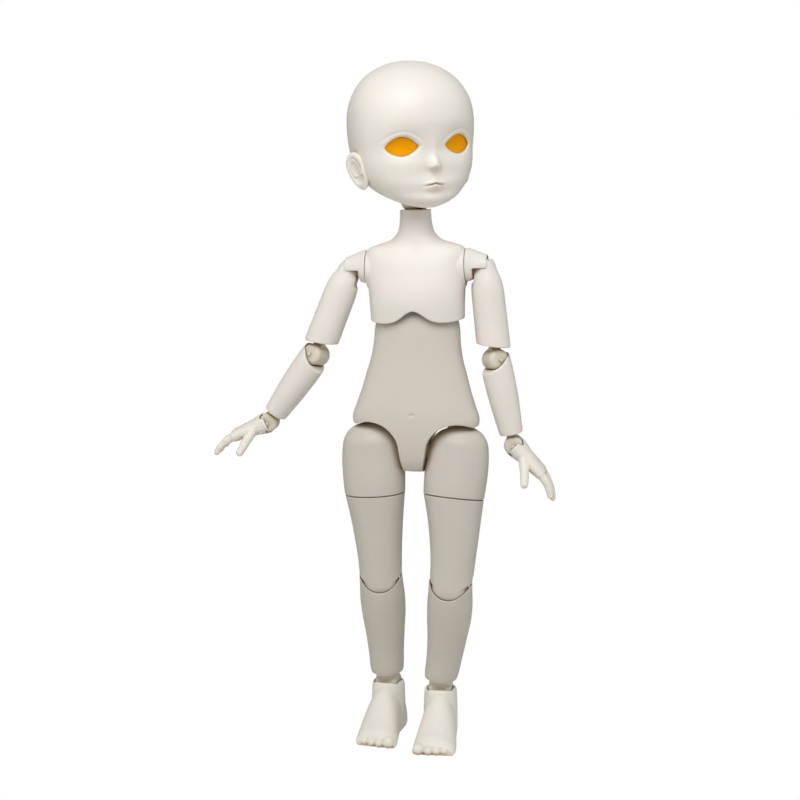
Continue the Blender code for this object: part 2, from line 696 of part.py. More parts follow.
def build_neck(turn, nod, plastic, steel):
    """The stud that turns in the neck, and the ball that nods on its pin."""
    body = ball("neck_ball", nod, NECK_BALL_RADIUS, finish=plastic)
    half = NECK_STUD_RADIUS / 1.6
    slot_half = half + CLEARANCE
    slot_depth = NECK_BALL_RADIUS / 1.35
    reach = NECK_BALL_RADIUS
    low = (-slot_half, -slot_depth, -reach * 2)
    slot = slab("neck_ball_slot", nod, low, (slot_half, slot_depth, reach / 2))
    pin_length = NECK_BALL_RADIUS * 1.5
    cut(body, slot, pin_hole("neck_pin_hole", nod, ARM_PIN_RADIUS, pin_length))
    pin("neck_pin", nod, ARM_PIN_RADIUS, pin_length, steel)
    stud_top = -NECK_BALL_RADIUS - CLEARANCE
    stud = rod("neck_stud", turn, -NECK_STUD_LENGTH, stud_top, NECK_STUD_RADIUS, finish=plastic,
               sides=SMALL_SIDES)
    depth = NECK_STUD_RADIUS * 0.8
    tongue = slab("neck_tongue", turn, (-half, -depth, stud_top - CLEARANCE * 2), (half, depth, depth))
    join(stud, tongue)
    cut(stud, pin_hole("neck_eye", turn, ARM_PIN_RADIUS, NECK_BALL_RADIUS))


def forms(x, z, across, rise, shares):
    """How far a group of soft round forms stands out at a place on the face."""
    total = 0.0
    for x_share, z_share, wide_share, tall_share, high_share in shares:
        u = (x - across - x_share * HEAD_HEIGHT) / (wide_share * HEAD_HEIGHT)
        v = (z - rise - z_share * HEAD_HEIGHT) / (tall_share * HEAD_HEIGHT)
        total += high_share * HEAD_HEIGHT * exp(-(u ** 2) - v ** 2)
    return total


def face_relief(x, z):
    """How far the face's front stands out (towards -Y) at a place above the chin."""
    relief = forms(x, z, 0, NOSE_RISE, NOSE_SHARES) + forms(x, z, 0, MOUTH_RISE, MOUTH_SHARES)
    for side in (-1, 1):
        relief += forms(x, z, side * EYE_SPACING / 2, EYE_RISE, SOCKET_SHARES)
    return relief


def head_skin(name, parent, inset, finish=None, sides=HEAD_SIDES):
    """The head's outline over its sections, with the face's relief on the front half."""
    rings = []
    for along, wide, front, back, set_back, squareness in HEAD_SHARES:
        height = along * (HEAD_HEIGHT - 2 * inset) + inset
        centre_y = set_back * HEAD_DEPTH / 2
        extents = (wide * HEAD_WIDTH / 2, front * HEAD_DEPTH / 2, back * HEAD_DEPTH / 2)
        inner = [max(extent - inset, extent / 4) for extent in extents]
        ring = section(*inner, height, centre_y, squareness, sides)
        for point in ring:
            front_share = max(0.0, -(point.y - centre_y) / extents[1])
            point.y -= face_relief(point.x, height) * min(1.0, front_share * 1.6)
            point.y += HEAD_SET_BACK
            point.z -= CHIN_DROP
        rings.append(ring)
    return solid(name, parent, rings, finish)


def almond(name, parent, side):
    """The eye's opening, pushed through the face's front."""
    outline = []
    for across, up in ALMOND_SHARES:
        x = side * EYE_SPACING / 2 + side * across * EYE_OPENING_WIDTH / 2
        outline.append((x, EYE_RISE - CHIN_DROP + up * EYE_OPENING_HEIGHT / 2))
    return prism(name, parent, outline, -HEAD_DEPTH, -HEAD_DEPTH / 6)


def build_head(parent, cap_frame, plastic, iris):
    """The face shell with its ears, the cap that closes it behind, and the eyes."""
    seam = CAP_SEAM_SET_BACK + HEAD_SET_BACK
    face = head_skin("face_shell", parent, 0.0, plastic)
    for side, word in ((1, "left"), (-1, "right")):
        join(face, ear(f"ear_{word}", parent, side))
    hollow = head_skin("face_hollow", parent, HEAD_WALL)
    seat = ball("neck_seat", parent, NECK_BALL_RADIUS + CLEARANCE + NECK_SEAT_WALL)
    cut(hollow, seat)
    cut(face, hollow, ball("head_socket", parent, NECK_BALL_RADIUS + CLEARANCE))
    mouth_radius = NECK_BALL_RADIUS + RUNNING_GAP * 2
    mouth_sides = ROUND_SIDES - 2
    cut(face, rod("head_mouth", parent, -NECK_BALL_RADIUS * 2, -CLEARANCE, mouth_radius, sides=mouth_sides))
    top = HEAD_HEIGHT * 2
    cut(face, slab("face_back", parent, (-HEAD_WIDTH, seam, -HEAD_HEIGHT), (HEAD_WIDTH, HEAD_DEPTH, top)))
    cap = head_skin("head_cap", cap_frame, 0.0, plastic)
    cut(cap, head_skin("cap_hollow", cap_frame, HEAD_WALL))
    low = (-HEAD_WIDTH, -HEAD_DEPTH, -HEAD_HEIGHT)
    cut(cap, slab("cap_front", cap_frame, low, (HEAD_WIDTH, seam + CLEARANCE, top)))
    for side, word in ((1, "left"), (-1, "right")):
        cut(face, almond(f"eye_opening_{word}", parent, side))
        build_eye(word, side, parent, iris)


def ear(name, parent, side):
    """A low-set ear: a flat oval, leaning back and standing a little off the head."""
    rings = []
    steps = 8
    upper_share = 0.18
    across_share = 0.472
    for i in range(steps + 1):
        turn = pi * i / steps
        if i in (0, steps):
            rings.append([Vector((0, 0, cos(turn) * EAR_HEIGHT / 2))])
            continue
        swell = sin(turn) * (1.0 + upper_share * cos(turn))
        thick, long = EAR_THICKNESS / 2 * swell, EAR_LENGTH / 2 * swell
        rings.append(section(thick, long, long, cos(turn) * EAR_HEIGHT / 2, sides=10))
    centre_y = EAR_SET_BACK + HEAD_SET_BACK - EAR_LENGTH / 2
    place = Matrix.Translation((side * HEAD_WIDTH * across_share, centre_y, EAR_RISE - CHIN_DROP))
    lean = Euler((radians(-14), side * radians(10), side * radians(-24))).to_matrix().to_4x4()
    return solid(name, parent, [[place @ lean @ point for point in ring] for ring in rings])


def build_eye(word, side, parent, iris):
    """A half-round eye behind its opening."""
    rise = EYE_BALL_RADIUS - sqrt(EYE_BALL_RADIUS ** 2 - (EYE_DIAMETER / 2) ** 2)
    steps = 5
    half_angle = asin(EYE_DIAMETER / 2 / EYE_BALL_RADIUS)
    profile = []
    for i in range(steps + 1):
        angle = half_angle * i / steps
        profile.append((EYE_BALL_RADIUS * (1 - cos(angle)), EYE_BALL_RADIUS * sin(angle)))
    profile.append((rise + HEAD_WALL / 3, EYE_DIAMETER / 2))
    front = head_front(EYE_SPACING / 2, EYE_RISE) + HEAD_WALL + CLEARANCE * 3
    centre = (side * EYE_SPACING / 2, front + HEAD_SET_BACK, EYE_RISE - CHIN_DROP)
    turned(f"eye_{word}", parent, profile, "Y", centre, iris, 16)


def head_front(x, z):
    """The y of the face's skin at a place in the head's own frame."""
    shares = HEAD_SHARES
    height = z / HEAD_HEIGHT
    for low, high in zip(shares, shares[1:]):
        if low[0] <= height <= high[0]:
            part = (height - low[0]) / (high[0] - low[0])
            row = [a + (b - a) * part for a, b in zip(low, high)]
            break
    across = min(abs(x) / (row[1] * HEAD_WIDTH / 2), 1.0)
    depth = row[2] * HEAD_DEPTH / 2 * (1 - across ** row[5]) ** (1 / row[5])
    return row[4] * HEAD_DEPTH / 2 - depth - face_relief(x, z)


def build_arm(word, side, swing, lift, twist, bend, wrist, hand, plastic, steel):
    """One arm: shoulder peg, upper arm, elbow, forearm, wrist and hand, with their pins."""
    shaft_end = SHOULDER_SPACING / 2 - CHEST_WIDTH / 2 - CLEARANCE
    ends = sorted((-side * (shaft_end + SHOULDER_SHAFT_LENGTH), -side * (shaft_end - CLEARANCE)))
    peg = rod(f"shoulder_peg_{word}", swing, *ends, SHOULDER_SHAFT_RADIUS, "X", finish=plastic,
              sides=SMALL_SIDES)
    tongue_half = SHOULDER_KNUCKLE_RADIUS * 0.7
    half = SHOULDER_TONGUE / 2
    x_ends = sorted((-side * shaft_end, 0.0))
    low = (x_ends[0], -half, -tongue_half)
    tongue = slab(f"shoulder_tongue_{word}", swing, low, (x_ends[1], half, tongue_half))
    disc_sides = SMALL_SIDES + 4
    disc = rod(f"shoulder_disc_{word}", swing, -half, half, SHOULDER_KNUCKLE_RADIUS, "Y", sides=disc_sides)
    join(peg, tongue, disc, *shoulder_cap(word, side, swing, shaft_end))
    cut(peg, pin_hole(f"shoulder_eye_{word}", swing, ARM_PIN_RADIUS, SHOULDER_BALL_RADIUS * 2, "Y"))
    pin_length = SHOULDER_BALL_RADIUS * 1.5
    pin(f"shoulder_pin_{word}", lift, ARM_PIN_RADIUS, pin_length, steel, "Y")

    upper_rings = [[Vector((0, 0, SHOULDER_BALL_RADIUS))]]
    for angle in (25, 50, 72):
        around = SHOULDER_BALL_RADIUS * sin(radians(angle))
        upper_rings.append(section(around, around, around, SHOULDER_BALL_RADIUS * cos(radians(angle))))
    for along, wide, front, back, set_back, squareness in UPPER_ARM_SHARES:
        upper_rings.append(section(
            wide * UPPER_ARM_WIDTH / 2, front * UPPER_ARM_WIDTH / 2, back * UPPER_ARM_WIDTH / 2,
            -along * UPPER_ARM_LENGTH, set_back, squareness))
    upper = solid(f"upper_arm_{word}", lift, upper_rings, plastic)
    reach = UPPER_ARM_WIDTH
    sweep = swept_bar(reach, 180 if side > 0 else 0, 90, tongue_half + RUNNING_GAP)
    slot_half = SHOULDER_TONGUE / 2 + CLEARANCE
    slot = prism(f"shoulder_slot_{word}", lift, sweep, -slot_half, slot_half)
    pocket_radius = SHOULDER_KNUCKLE_RADIUS + RUNNING_GAP
    pocket = rod(f"shoulder_pocket_{word}", lift, -slot_half, slot_half, pocket_radius, "Y", sides=disc_sides)
    cut(upper, slot, pocket, pin_hole(f"shoulder_hole_{word}", lift, ARM_PIN_RADIUS, pin_length, "Y"))
    bore_radius = ARM_SHAFT_RADIUS + CLEARANCE
    bore_top = -UPPER_ARM_LENGTH + ARM_SHAFT_LENGTH + CLEARANCE
    cut(upper, rod(f"elbow_bore_{word}", lift, -UPPER_ARM_LENGTH, bore_top, bore_radius, sides=SMALL_SIDES))
    low = -UPPER_ARM_SHARES[-1][0] * UPPER_ARM_LENGTH
    far = UPPER_ARM_WIDTH
    rise = far * ARM_END_SLOPE_SHARE
    end = (
        (side * far, low - rise / 2), (-side * far, low + rise * 1.5),
        (-side * far, low - far), (side * far, low - far),
    )
    cut(upper, prism(f"upper_arm_end_{word}", lift, end, -far, far))

    joint = knuckle(f"elbow_joint_{word}", twist, ELBOW_RADIUS, ELBOW_WIDTH, plastic)
    cut(joint, pin_hole(f"elbow_eye_{word}", twist, ARM_PIN_RADIUS, FOREARM_WIDTH * 1.2))
    pin_length = FOREARM_WIDTH * 0.84
    pin(f"elbow_pin_{word}", bend, ARM_PIN_RADIUS, pin_length, steel)
    forearm = loft(f"forearm_{word}", bend, FOREARM_SHARES, -FOREARM_LENGTH, FOREARM_WIDTH, FOREARM_WIDTH,
                   plastic)
    far = FOREARM_WIDTH
    lip = ELBOW_RADIUS * 0.42
    scoop = (
        (-far, -ELBOW_RADIUS * 1.7), (0, -ELBOW_RADIUS * 0.45), (FOREARM_WIDTH * 0.36, ELBOW_RADIUS * 0.36),
        (FOREARM_WIDTH / 2, lip), (far, lip), (far, far), (-far, far),
    )
    cut(forearm, prism(f"elbow_scoop_{word}", bend, scoop, -far, far, "X"))
    cut(forearm, barrel(f"elbow_cup_{word}", bend, ELBOW_RADIUS + RUNNING_GAP, ELBOW_WIDTH + RUNNING_GAP * 2))
    cut(forearm, pin_hole(f"elbow_hole_{word}", bend, ARM_PIN_RADIUS, pin_length))
    bore_top = -FOREARM_LENGTH + ARM_SHAFT_LENGTH + CLEARANCE
    cut(forearm, rod(f"wrist_bore_{word}", bend, -FOREARM_LENGTH, bore_top, bore_radius, sides=SMALL_SIDES))

    joint = knuckle(f"wrist_ball_{word}", wrist, WRIST_RADIUS, WRIST_WIDTH, plastic)
    cut(joint, pin_hole(f"wrist_eye_{word}", wrist, ARM_PIN_RADIUS, PALM_WIDTH))
    pin(f"wrist_pin_{word}", hand, ARM_PIN_RADIUS, PALM_WIDTH * 0.66, steel)
    build_hand(word, side, hand, plastic)


def tidy(outline):
    """An outline in one turning sense, whichever way the sweep was written."""
    area = sum(a[0] * b[1] - b[0] * a[1] for a, b in zip(outline, outline[1:] + outline[:1]))
    return outline if area > 0 else outline[::-1]


def digit(name, parent, start, heading, length, radius, curl):
    """A finger: rings along a path that curls towards the palm."""
    rings = []
    steps = 5
    place = Vector(start)
    direction = Vector(heading).normalized()
    side = direction.cross(Vector((0, 1, 0))).normalized()
    for i in range(steps + 1):
        part = i / steps
        taper = radius * (1.04 - 0.28 * part) * (0.80 if i == steps else 1.0)
        normal = direction.cross(side).normalized()
        ring = []
        for k in range(DIGIT_SIDES):
            angle = 2 * pi * k / DIGIT_SIDES
            ring.append(place + (side * cos(angle) + normal * sin(angle)) * taper)
        rings.append(ring)
        place = place + direction * (length / steps)
        direction = (Matrix.Rotation(radians(curl / steps), 3, side) @ direction).normalized()
    rings.append([place - direction * (length / steps) * 0.55])
    return solid(name, parent, rings)


def build_hand(word, side, parent, plastic):
    """A hand with four fingers a little curled and a thumb held apart."""
    hand = loft(f"hand_{word}", parent, PALM_SHARES, -HAND_LENGTH, PALM_WIDTH, PALM_THICKNESS, plastic, 16)
    for i, (across, reach, size) in enumerate(FINGER_SHARES):
        start = (side * across * PALM_WIDTH / 2 * 0.95, 0, -HAND_LENGTH * 0.55)
        heading = (side * across * 0.05, 0, -1)
        length = HAND_LENGTH * reach
        join(hand, digit(f"finger_{word}_{i}", parent, start, heading, length, FINGER_RADIUS * size, -44))
    start = (side * PALM_WIDTH / 2 * 0.62, -PALM_THICKNESS * 0.10, -HAND_LENGTH * 0.24)
    heading = (side * 0.62, -0.50, -0.72)
    join(hand, digit(f"thumb_{word}", parent, start, heading, HAND_LENGTH * 0.44, THUMB_RADIUS, -10))
    cut(hand, barrel(f"wrist_cup_{word}", parent, WRIST_RADIUS + RUNNING_GAP, WRIST_WIDTH + RUNNING_GAP * 2))
    far = PALM_WIDTH
    low = -WRIST_RADIUS * 0.05
    mouth = ((-far, low), (far, low), (far, far), (-far, far))
    cut(hand, prism(f"wrist_mouth_{word}", parent, mouth, -far, far, "X"))
    cut(hand, pin_hole(f"wrist_hole_{word}", parent, ARM_PIN_RADIUS, PALM_WIDTH * 0.66))


def build_leg(word, side, swing, spread, turn, knee, ankle, foot, sole, plastic, steel):
    """One leg: hip peg, both thigh pieces, shin, ankle and foot, with their pins."""
    reach = HIP_SPACING / 2 - HIP_BOSS_REACH - CLEARANCE
    ends = sorted((-side * (reach + HIP_SHAFT_LENGTH), -side * (reach - CLEARANCE)))
    peg = rod(f"hip_peg_{word}", swing, *ends, HIP_SHAFT_RADIUS, "X", finish=plastic, sides=SMALL_SIDES)
    tongue_half = HIP_KNUCKLE_RADIUS * 0.66
    half = HIP_TONGUE / 2
    ends = sorted((-side * reach, 0.0))
    tongue = slab(f"hip_tongue_{word}", swing, (ends[0], -half, -tongue_half), (ends[1], half, tongue_half))
    disc_sides = SMALL_SIDES + 4
    disc = rod(f"hip_disc_{word}", swing, -half, half, HIP_KNUCKLE_RADIUS, "Y", sides=disc_sides)
    join(peg, tongue, disc)
    cut(peg, pin_hole(f"hip_eye_{word}", swing, HIP_PIN_RADIUS, THIGH_DEPTH, "Y"))
    pin_length = THIGH_DEPTH * 0.7
    pin(f"hip_pin_{word}", spread, HIP_PIN_RADIUS, pin_length, steel, "Y")

    upper = loft(f"upper_thigh_{word}", spread, THIGH_TOP_SHARES, -THIGH_TOP, THIGH_WIDTH, THIGH_DEPTH,
                 plastic, THIGH_SIDES)
    slot_half = HIP_TONGUE / 2 + CLEARANCE
    angles = (186, 140) if side > 0 else (-6, 40)
    sweep = swept_bar(THIGH_WIDTH, *angles, tongue_half + RUNNING_GAP)
    slot = prism(f"hip_slot_{word}", spread, sweep, -slot_half, slot_half)
    pocket_radius = HIP_KNUCKLE_RADIUS + RUNNING_GAP
    pocket = rod(f"hip_pocket_{word}", spread, -slot_half, slot_half, pocket_radius, "Y", sides=disc_sides)
    boss_room = boss_clearance(word, side, spread, angles)
    cut(upper, slot, pocket, boss_room, pin_hole(f"hip_hole_{word}", spread, HIP_PIN_RADIUS, pin_length, "Y"))
    bore_top = -THIGH_SEAM_DROP + THIGH_STEM_LENGTH + CLEARANCE
    bore_radius = THIGH_STEM_RADIUS + CLEARANCE
    cut(upper, rod(f"thigh_bore_{word}", spread, -THIGH_SEAM_DROP - OVERRUN, bore_top, bore_radius))

    drop = THIGH_LENGTH - THIGH_SEAM_DROP
    lower_rings = []
    for along, wide, front, back, set_back, squareness in LOWER_THIGH_SHARES:
        lower_rings.append(section(
            wide * THIGH_WIDTH / 2, front * THIGH_DEPTH / 2, back * THIGH_DEPTH / 2,
            -along * drop - CLEARANCE, set_back, squareness, THIGH_SIDES))
    lower = solid(f"lower_thigh_{word}", turn, lower_rings, plastic)
    stem = rod(f"thigh_stem_{word}", turn, -THIGH_STEM_RADIUS, THIGH_STEM_LENGTH, THIGH_STEM_RADIUS)
    join(lower, stem)
    knee_place = (0, 0, -drop)
    far = THIGH_WIDTH
    half = KNEE_KNUCKLE_WIDTH / 2
    for end in (-1, 1):
        lo, hi = sorted((end * half, end * far))
        cheek = [(-far, -drop - far), (far, -drop - far)]
        for angle in range(35, 146, 22):
            turned_to = radians(angle)
            cheek.append((KNEE_ARCH_RADIUS * cos(turned_to), KNEE_ARCH_RADIUS * sin(turned_to) - drop))
        cut(lower, prism(f"knee_cheek_{word}_{end}", turn, tidy(cheek), lo, hi, "X"))
    rise = far * KNEE_NOTCH_SHARE
    below = ((-far, -drop - far), (far, -drop - far), (far, rise - drop), (KNEE_RADIUS * 0.2, -drop),
             (-far, -drop))
    cut(lower, prism(f"knee_notch_{word}", turn, tidy(below), -far, far, "X"))
    join(lower, rod(f"knee_knob_{word}", turn, -half, half, KNEE_RADIUS, "X", knee_place))
    hole_radius = KNEE_PIN_RADIUS + CLEARANCE
    hole = rod(f"knee_hole_{word}", turn, -KNEE_WIDTH, KNEE_WIDTH, hole_radius, "X", knee_place,
               sides=PIN_SIDES)
    cut(lower, hole)
    pin_length = KNEE_WIDTH * 0.92
    pin(f"knee_pin_{word}", knee, KNEE_PIN_RADIUS, pin_length, steel)

    shin_rings = []
    half_width = KNEE_WIDTH / 2
    for rise_share, size_share in SHIN_TOP_SHARES:
        deep = half_width * size_share
        shin_rings.append(section(half_width * (0.9 + size_share / 10), deep, deep, rise_share * KNEE_RADIUS,
                                  sides=THIGH_SIDES))
    for along, wide, front, back, set_back, squareness in SHIN_SHARES:
        shin_rings.append(section(
            wide * half_width, front * half_width, back * half_width,
            -along * SHIN_LENGTH, set_back * half_width, squareness, THIGH_SIDES))
    shin = solid(f"shin_{word}", knee, shin_rings, plastic)
    cup_half = half + RUNNING_GAP
    cut(shin, rod(f"knee_cup_{word}", knee, -cup_half, cup_half, KNEE_RADIUS + RUNNING_GAP, "X"))
    cheek_gap = cup_half + CLEARANCE
    front_low, front_high = (-cheek_gap, -far, -KNEE_RADIUS * 0.30), (cheek_gap, KNEE_RADIUS * 0.45, far)
    front_cut = slab(f"shin_front_{word}", knee, front_low, front_high)
    edge = KNEE_RADIUS * 0.35
    back_notch = (
        (edge, far), (edge, edge), (KNEE_RADIUS * 0.55, -KNEE_RADIUS * 0.1),
        (far, -far * CALF_NOTCH_SHARE), (far, far),
    )
    cut(shin, front_cut, prism(f"shin_notch_{word}", knee, tidy(back_notch), -far, far, "X"))
    cut(shin, pin_hole(f"shin_pin_hole_{word}", knee, KNEE_PIN_RADIUS, pin_length))
    bore_top = -SHIN_LENGTH + ANKLE_SHAFT_LENGTH + CLEARANCE
    bore_radius = ANKLE_SHAFT_RADIUS + CLEARANCE
    cut(shin, rod(f"ankle_bore_{word}", knee, -SHIN_LENGTH, bore_top, bore_radius, sides=SMALL_SIDES))

    post = barrel(f"ankle_joint_{word}", ankle, ANKLE_RADIUS, ANKLE_WIDTH, finish=plastic)
    wide, deep = ANKLE_WIDTH / 2 - CLEARANCE, ANKLE_NECK_THICKNESS / 2
    neck = slab(f"ankle_neck_{word}", ankle, (-wide, -deep, 0), (wide, deep, SHIN_END_GAP - CLEARANCE))
    shaft = rod(f"ankle_shaft_{word}", ankle, 0, ANKLE_SHAFT_LENGTH, ANKLE_SHAFT_RADIUS, sides=SMALL_SIDES)
    join(post, neck, shaft)
    cut(post, pin_hole(f"ankle_eye_{word}", ankle, ANKLE_PIN_RADIUS, COLLAR_WIDTH))
    pin(f"ankle_pin_{word}", foot, ANKLE_PIN_RADIUS, COLLAR_WIDTH * 0.86, steel)
    build_foot(word, side, foot, sole, plastic)


def boss_clearance(word, side, spread, angles):
    """Room in a thigh's inner side for the pelvis boss, over the leg's sideways range."""
    near = HIP_SPACING / 2 - HIP_BOSS_REACH - RUNNING_GAP * 2
    outline = []
    wide = HIP_BOSS_RADIUS + RUNNING_GAP
    first, last = (radians(a) for a in angles)
    for angle, edge in ((first, -1), (first, 1), (last, -1), (last, 1)):
        for distance in (near, THIGH_WIDTH):
            x = distance * cos(angle) - edge * wide * sin(angle)
            z = distance * sin(angle) + edge * wide * cos(angle)
            outline.append((x, z))
    return prism(f"hip_boss_room_{word}", spread, hull(outline), -wide, wide)


def build_foot(word, side, ankle, sole, plastic):
    """A bare foot with a flat sole, five toes and a collar round the ankle."""
    length = FOOT_HEEL + FOOT_TOE
    rings = []
    for along, wide, high in FOOT_SHARES:
        half = wide * FOOT_WIDTH / 2
        height = high * ANKLE_HEIGHT
        y = FOOT_HEEL - along * length
        ring = [Vector((-half * 0.86, y, -SOLE_TRIM)), Vector((half * 0.86, y, -SOLE_TRIM))]
        for i in range(11):
            angle = pi * (i + 0.6) / 11.2
            ring.append(Vector((half * cos(angle), y, height * (0.10 + 0.90 * sin(angle) ** 0.85))))
        rings.append([point - Vector((0, 0, ANKLE_HEIGHT)) for point in ring])
    foot = solid(f"foot_{word}", sole, rings, plastic)
    collar_rings = []
    for rise, size in COLLAR_SHARES:
        deep = COLLAR_DEPTH / 2 * size
        collar_rings.append(section(COLLAR_WIDTH / 2 * size, deep, deep, rise * ANKLE_HEIGHT, sides=20))
    collar = solid(f"foot_collar_{word}", sole, collar_rings)
    join(foot, collar)
    for i, (across, reach, size) in enumerate(TOE_SHARES):
        radius = size * FOOT_WIDTH / 2 * 0.92
        x = side * across * FOOT_WIDTH / 2 * 0.86
        tip = FOOT_HEEL - reach * length
        join(foot, toe_solid(f"toe_{word}_{i}", sole, x, tip, radius))
    far = FOOT_TOE * 2
    cut(foot, slab(f"sole_cut_{word}", sole, (-far, -far, -far), (far, far, -ANKLE_HEIGHT)))
    cut(foot, barrel(f"ankle_cup_{word}", ankle, ANKLE_RADIUS + RUNNING_GAP, ANKLE_WIDTH + RUNNING_GAP * 2))
    half = ANKLE_WIDTH / 2 + CLEARANCE
    open_half = ANKLE_RADIUS * 0.98
    cut(foot, slab(f"ankle_mouth_{word}", ankle, (-half, -open_half, 0), (half, open_half, ANKLE_HEIGHT)))
    cut(foot, pin_hole(f"ankle_hole_{word}", ankle, ANKLE_PIN_RADIUS, COLLAR_WIDTH * 0.86))


def toe_solid(name, parent, x, tip, radius):
    """One toe: a blunt, flat-bottomed capsule pointing forward."""
    rings = []
    for along, size in TOE_FORM_SHARES:
        ring = []
        for k in range(10):
            angle = 2 * pi * k / 10
            z = radius * size * sin(angle) + radius - SOLE_TRIM * 1.5
            ring.append(Vector((x + radius * size * cos(angle), tip + radius * along, z - ANKLE_HEIGHT)))
        rings.append(ring)
    return solid(name, parent, rings)


def leg_pose(pelvis, side, word):
    """The hip, knee and ankle angles that put one sole flat at its place on the floor."""
    hip = pelvis @ Vector((side * HIP_SPACING / 2, 0, 0))
    x, y = ANKLE_PLACES[word]
    ankle = Vector((PELVIS_X + x, PELVIS_Y + y, ANKLE_HEIGHT))
    reach = pelvis.to_3x3().inverted() @ (ankle - hip)
    span = THIGH_LENGTH ** 2 + SHIN_LENGTH ** 2
    bend = acos(min(1.0, (reach.length_squared - span) / (2 * THIGH_LENGTH * SHIN_LENGTH)))
    out_turn = radians(-side * KNEE_OUT_TURN)
    shin = Matrix.Rotation(out_turn, 3, "Z") @ Matrix.Rotation(bend, 3, "X") @ Vector((0, 0, -SHIN_LENGTH))
    whole = Vector((0, 0, -THIGH_LENGTH)) + shin
    across = hypot(whole.x, whole.z)
    spread = asin(reach.x / across) - atan2(whole.x, whole.z)
    spread = (spread + pi) % (2 * pi) - pi
    if abs(spread) > pi / 2:
        spread = pi - asin(reach.x / across) - atan2(whole.x, whole.z)
        spread = (spread + pi) % (2 * pi) - pi
    after = Matrix.Rotation(spread, 3, "Y") @ whole
    swing = atan2(reach.z, reach.y) - atan2(after.z, after.y)
    swing = (swing + pi) % (2 * pi) - pi
    leg = (pelvis.to_3x3() @ Matrix.Rotation(swing, 3, "X") @ Matrix.Rotation(spread, 3, "Y")
           @ Matrix.Rotation(out_turn, 3, "Z") @ Matrix.Rotation(bend, 3, "X"))
    foot = leg.inverted() @ Matrix.Rotation(radians(FOOT_YAWS[word]), 3, "Z")
    angles = {
        "swing": swing,
        "spread": spread,
        "turn": out_turn,
        "knee": bend,
        "ankle": atan2(-foot[0][1], foot[1][1]),
        "pitch": asin(max(-1.0, min(1.0, foot[2][1]))),
        "cant": atan2(-foot[2][0], foot[2][2]),
    }
    return {name: degrees(angle) for name, angle in angles.items()}


def main():
    for old in list(bpy.data.objects):
        bpy.data.objects.remove(old)
    cream = material("ivory_plastic", (0.86, 0.80, 0.73), 0.45)
    steel = material("pin_steel", (0.60, 0.60, 0.62), 0.30, 1.0)
    amber = material("eye_amber", (0.86, 0.36, 0.0), 0.30)

    pelvis = pivot("pelvis", None, (PELVIS_X, PELVIS_Y, HIP_HEIGHT), (0, PELVIS_ROLL, PELVIS_YAW))
    build_belly(pelvis, cream)
    waist_tilt = pivot("waist_tilt", pelvis, (0, 0, WAIST_RISE), (0, WAIST_TILT, 0))
    waist_bend = pivot("waist_bend", waist_tilt, (0, 0, 0))
    waist_turn = pivot("waist_turn", waist_bend, (0, 0, 0))
    build_waist(waist_tilt, waist_bend, cream, steel)
    build_chest(waist_turn, cream)

    neck_turn = pivot("neck_turn", waist_turn, (0, NECK_SET_BACK, NECK_RISE), (0, 0, HEAD_TURN))
    neck_nod = pivot("neck_nod", neck_turn, (0, 0, 0), (HEAD_NOD, 0, 0))
    neck_tilt = pivot("neck_tilt", neck_nod, (0, 0, 0), (0, HEAD_TILT, 0))
    cap_slide = pivot("cap_slide", neck_tilt, (0, 0, 0))
    build_neck(neck_turn, neck_nod, cream, steel)
    build_head(neck_tilt, cap_slide, cream, amber)

    pelvis_matrix = Matrix.Translation(pelvis.location) @ pelvis.rotation_euler.to_matrix().to_4x4()
    for side, word in ((1, "left"), (-1, "right")):
        pose = ARM_POSES[word]
        shoulder = (side * SHOULDER_SPACING / 2, 0, SHOULDER_RISE)
        swing = pivot(f"shoulder_swing_{word}", waist_turn, shoulder, (pose["swing"], 0, 0))
        lift = pivot(f"shoulder_raise_{word}", swing, (0, 0, 0), (0, -side * pose["raise"], 0))
        twist = pivot(f"elbow_turn_{word}", lift, (0, 0, -UPPER_ARM_LENGTH), (0, 0, -side * pose["twist"]))
        bend = pivot(f"elbow_bend_{word}", twist, (0, 0, 0), (-pose["bend"], 0, 0))
        wrist = pivot(f"wrist_turn_{word}", bend, (0, 0, -FOREARM_LENGTH), (0, 0, -side * pose["wrist"]))
        hand = pivot(f"wrist_bend_{word}", wrist, (0, 0, 0), (-pose["hand"], 0, 0))
        build_arm(word, side, swing, lift, twist, bend, wrist, hand, cream, steel)

        leg = leg_pose(pelvis_matrix, side, word)
        hip_swing = pivot(f"hip_swing_{word}", pelvis, (side * HIP_SPACING / 2, 0, 0), (leg["swing"], 0, 0))
        hip_spread = pivot(f"hip_spread_{word}", hip_swing, (0, 0, 0), (0, leg["spread"], 0))
        thigh_turn = pivot(f"thigh_turn_{word}", hip_spread, (0, 0, -THIGH_SEAM_DROP), (0, 0, leg["turn"]))
        knee = pivot(f"knee_{word}", thigh_turn, (0, 0, THIGH_SEAM_DROP - THIGH_LENGTH), (leg["knee"], 0, 0))
        ankle = pivot(f"ankle_turn_{word}", knee, (0, 0, -SHIN_LENGTH), (0, 0, leg["ankle"]))
        foot = pivot(f"ankle_bend_{word}", ankle, (0, 0, 0), (leg["pitch"], 0, 0))
        sole = pivot(f"sole_{word}", foot, (0, 0, 0), (0, leg["cant"], 0))
        build_leg(word, side, hip_swing, hip_spread, thigh_turn, knee, ankle, foot, sole, cream, steel)


main()
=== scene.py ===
"""The jointed doll as the photograph shows it: ivory moulded plastic on a white ground.

Every visible piece is built here finely, in the frame of its own joint, and stands for
the CAD node of the same place. Sizes are metres. The doll faces -Y, its left is at +X.
"""

import json
from math import asin, cos, pi, radians, sin, sqrt

import bmesh
import bpy
import numpy as np
from mathutils import Euler, Matrix, Vector


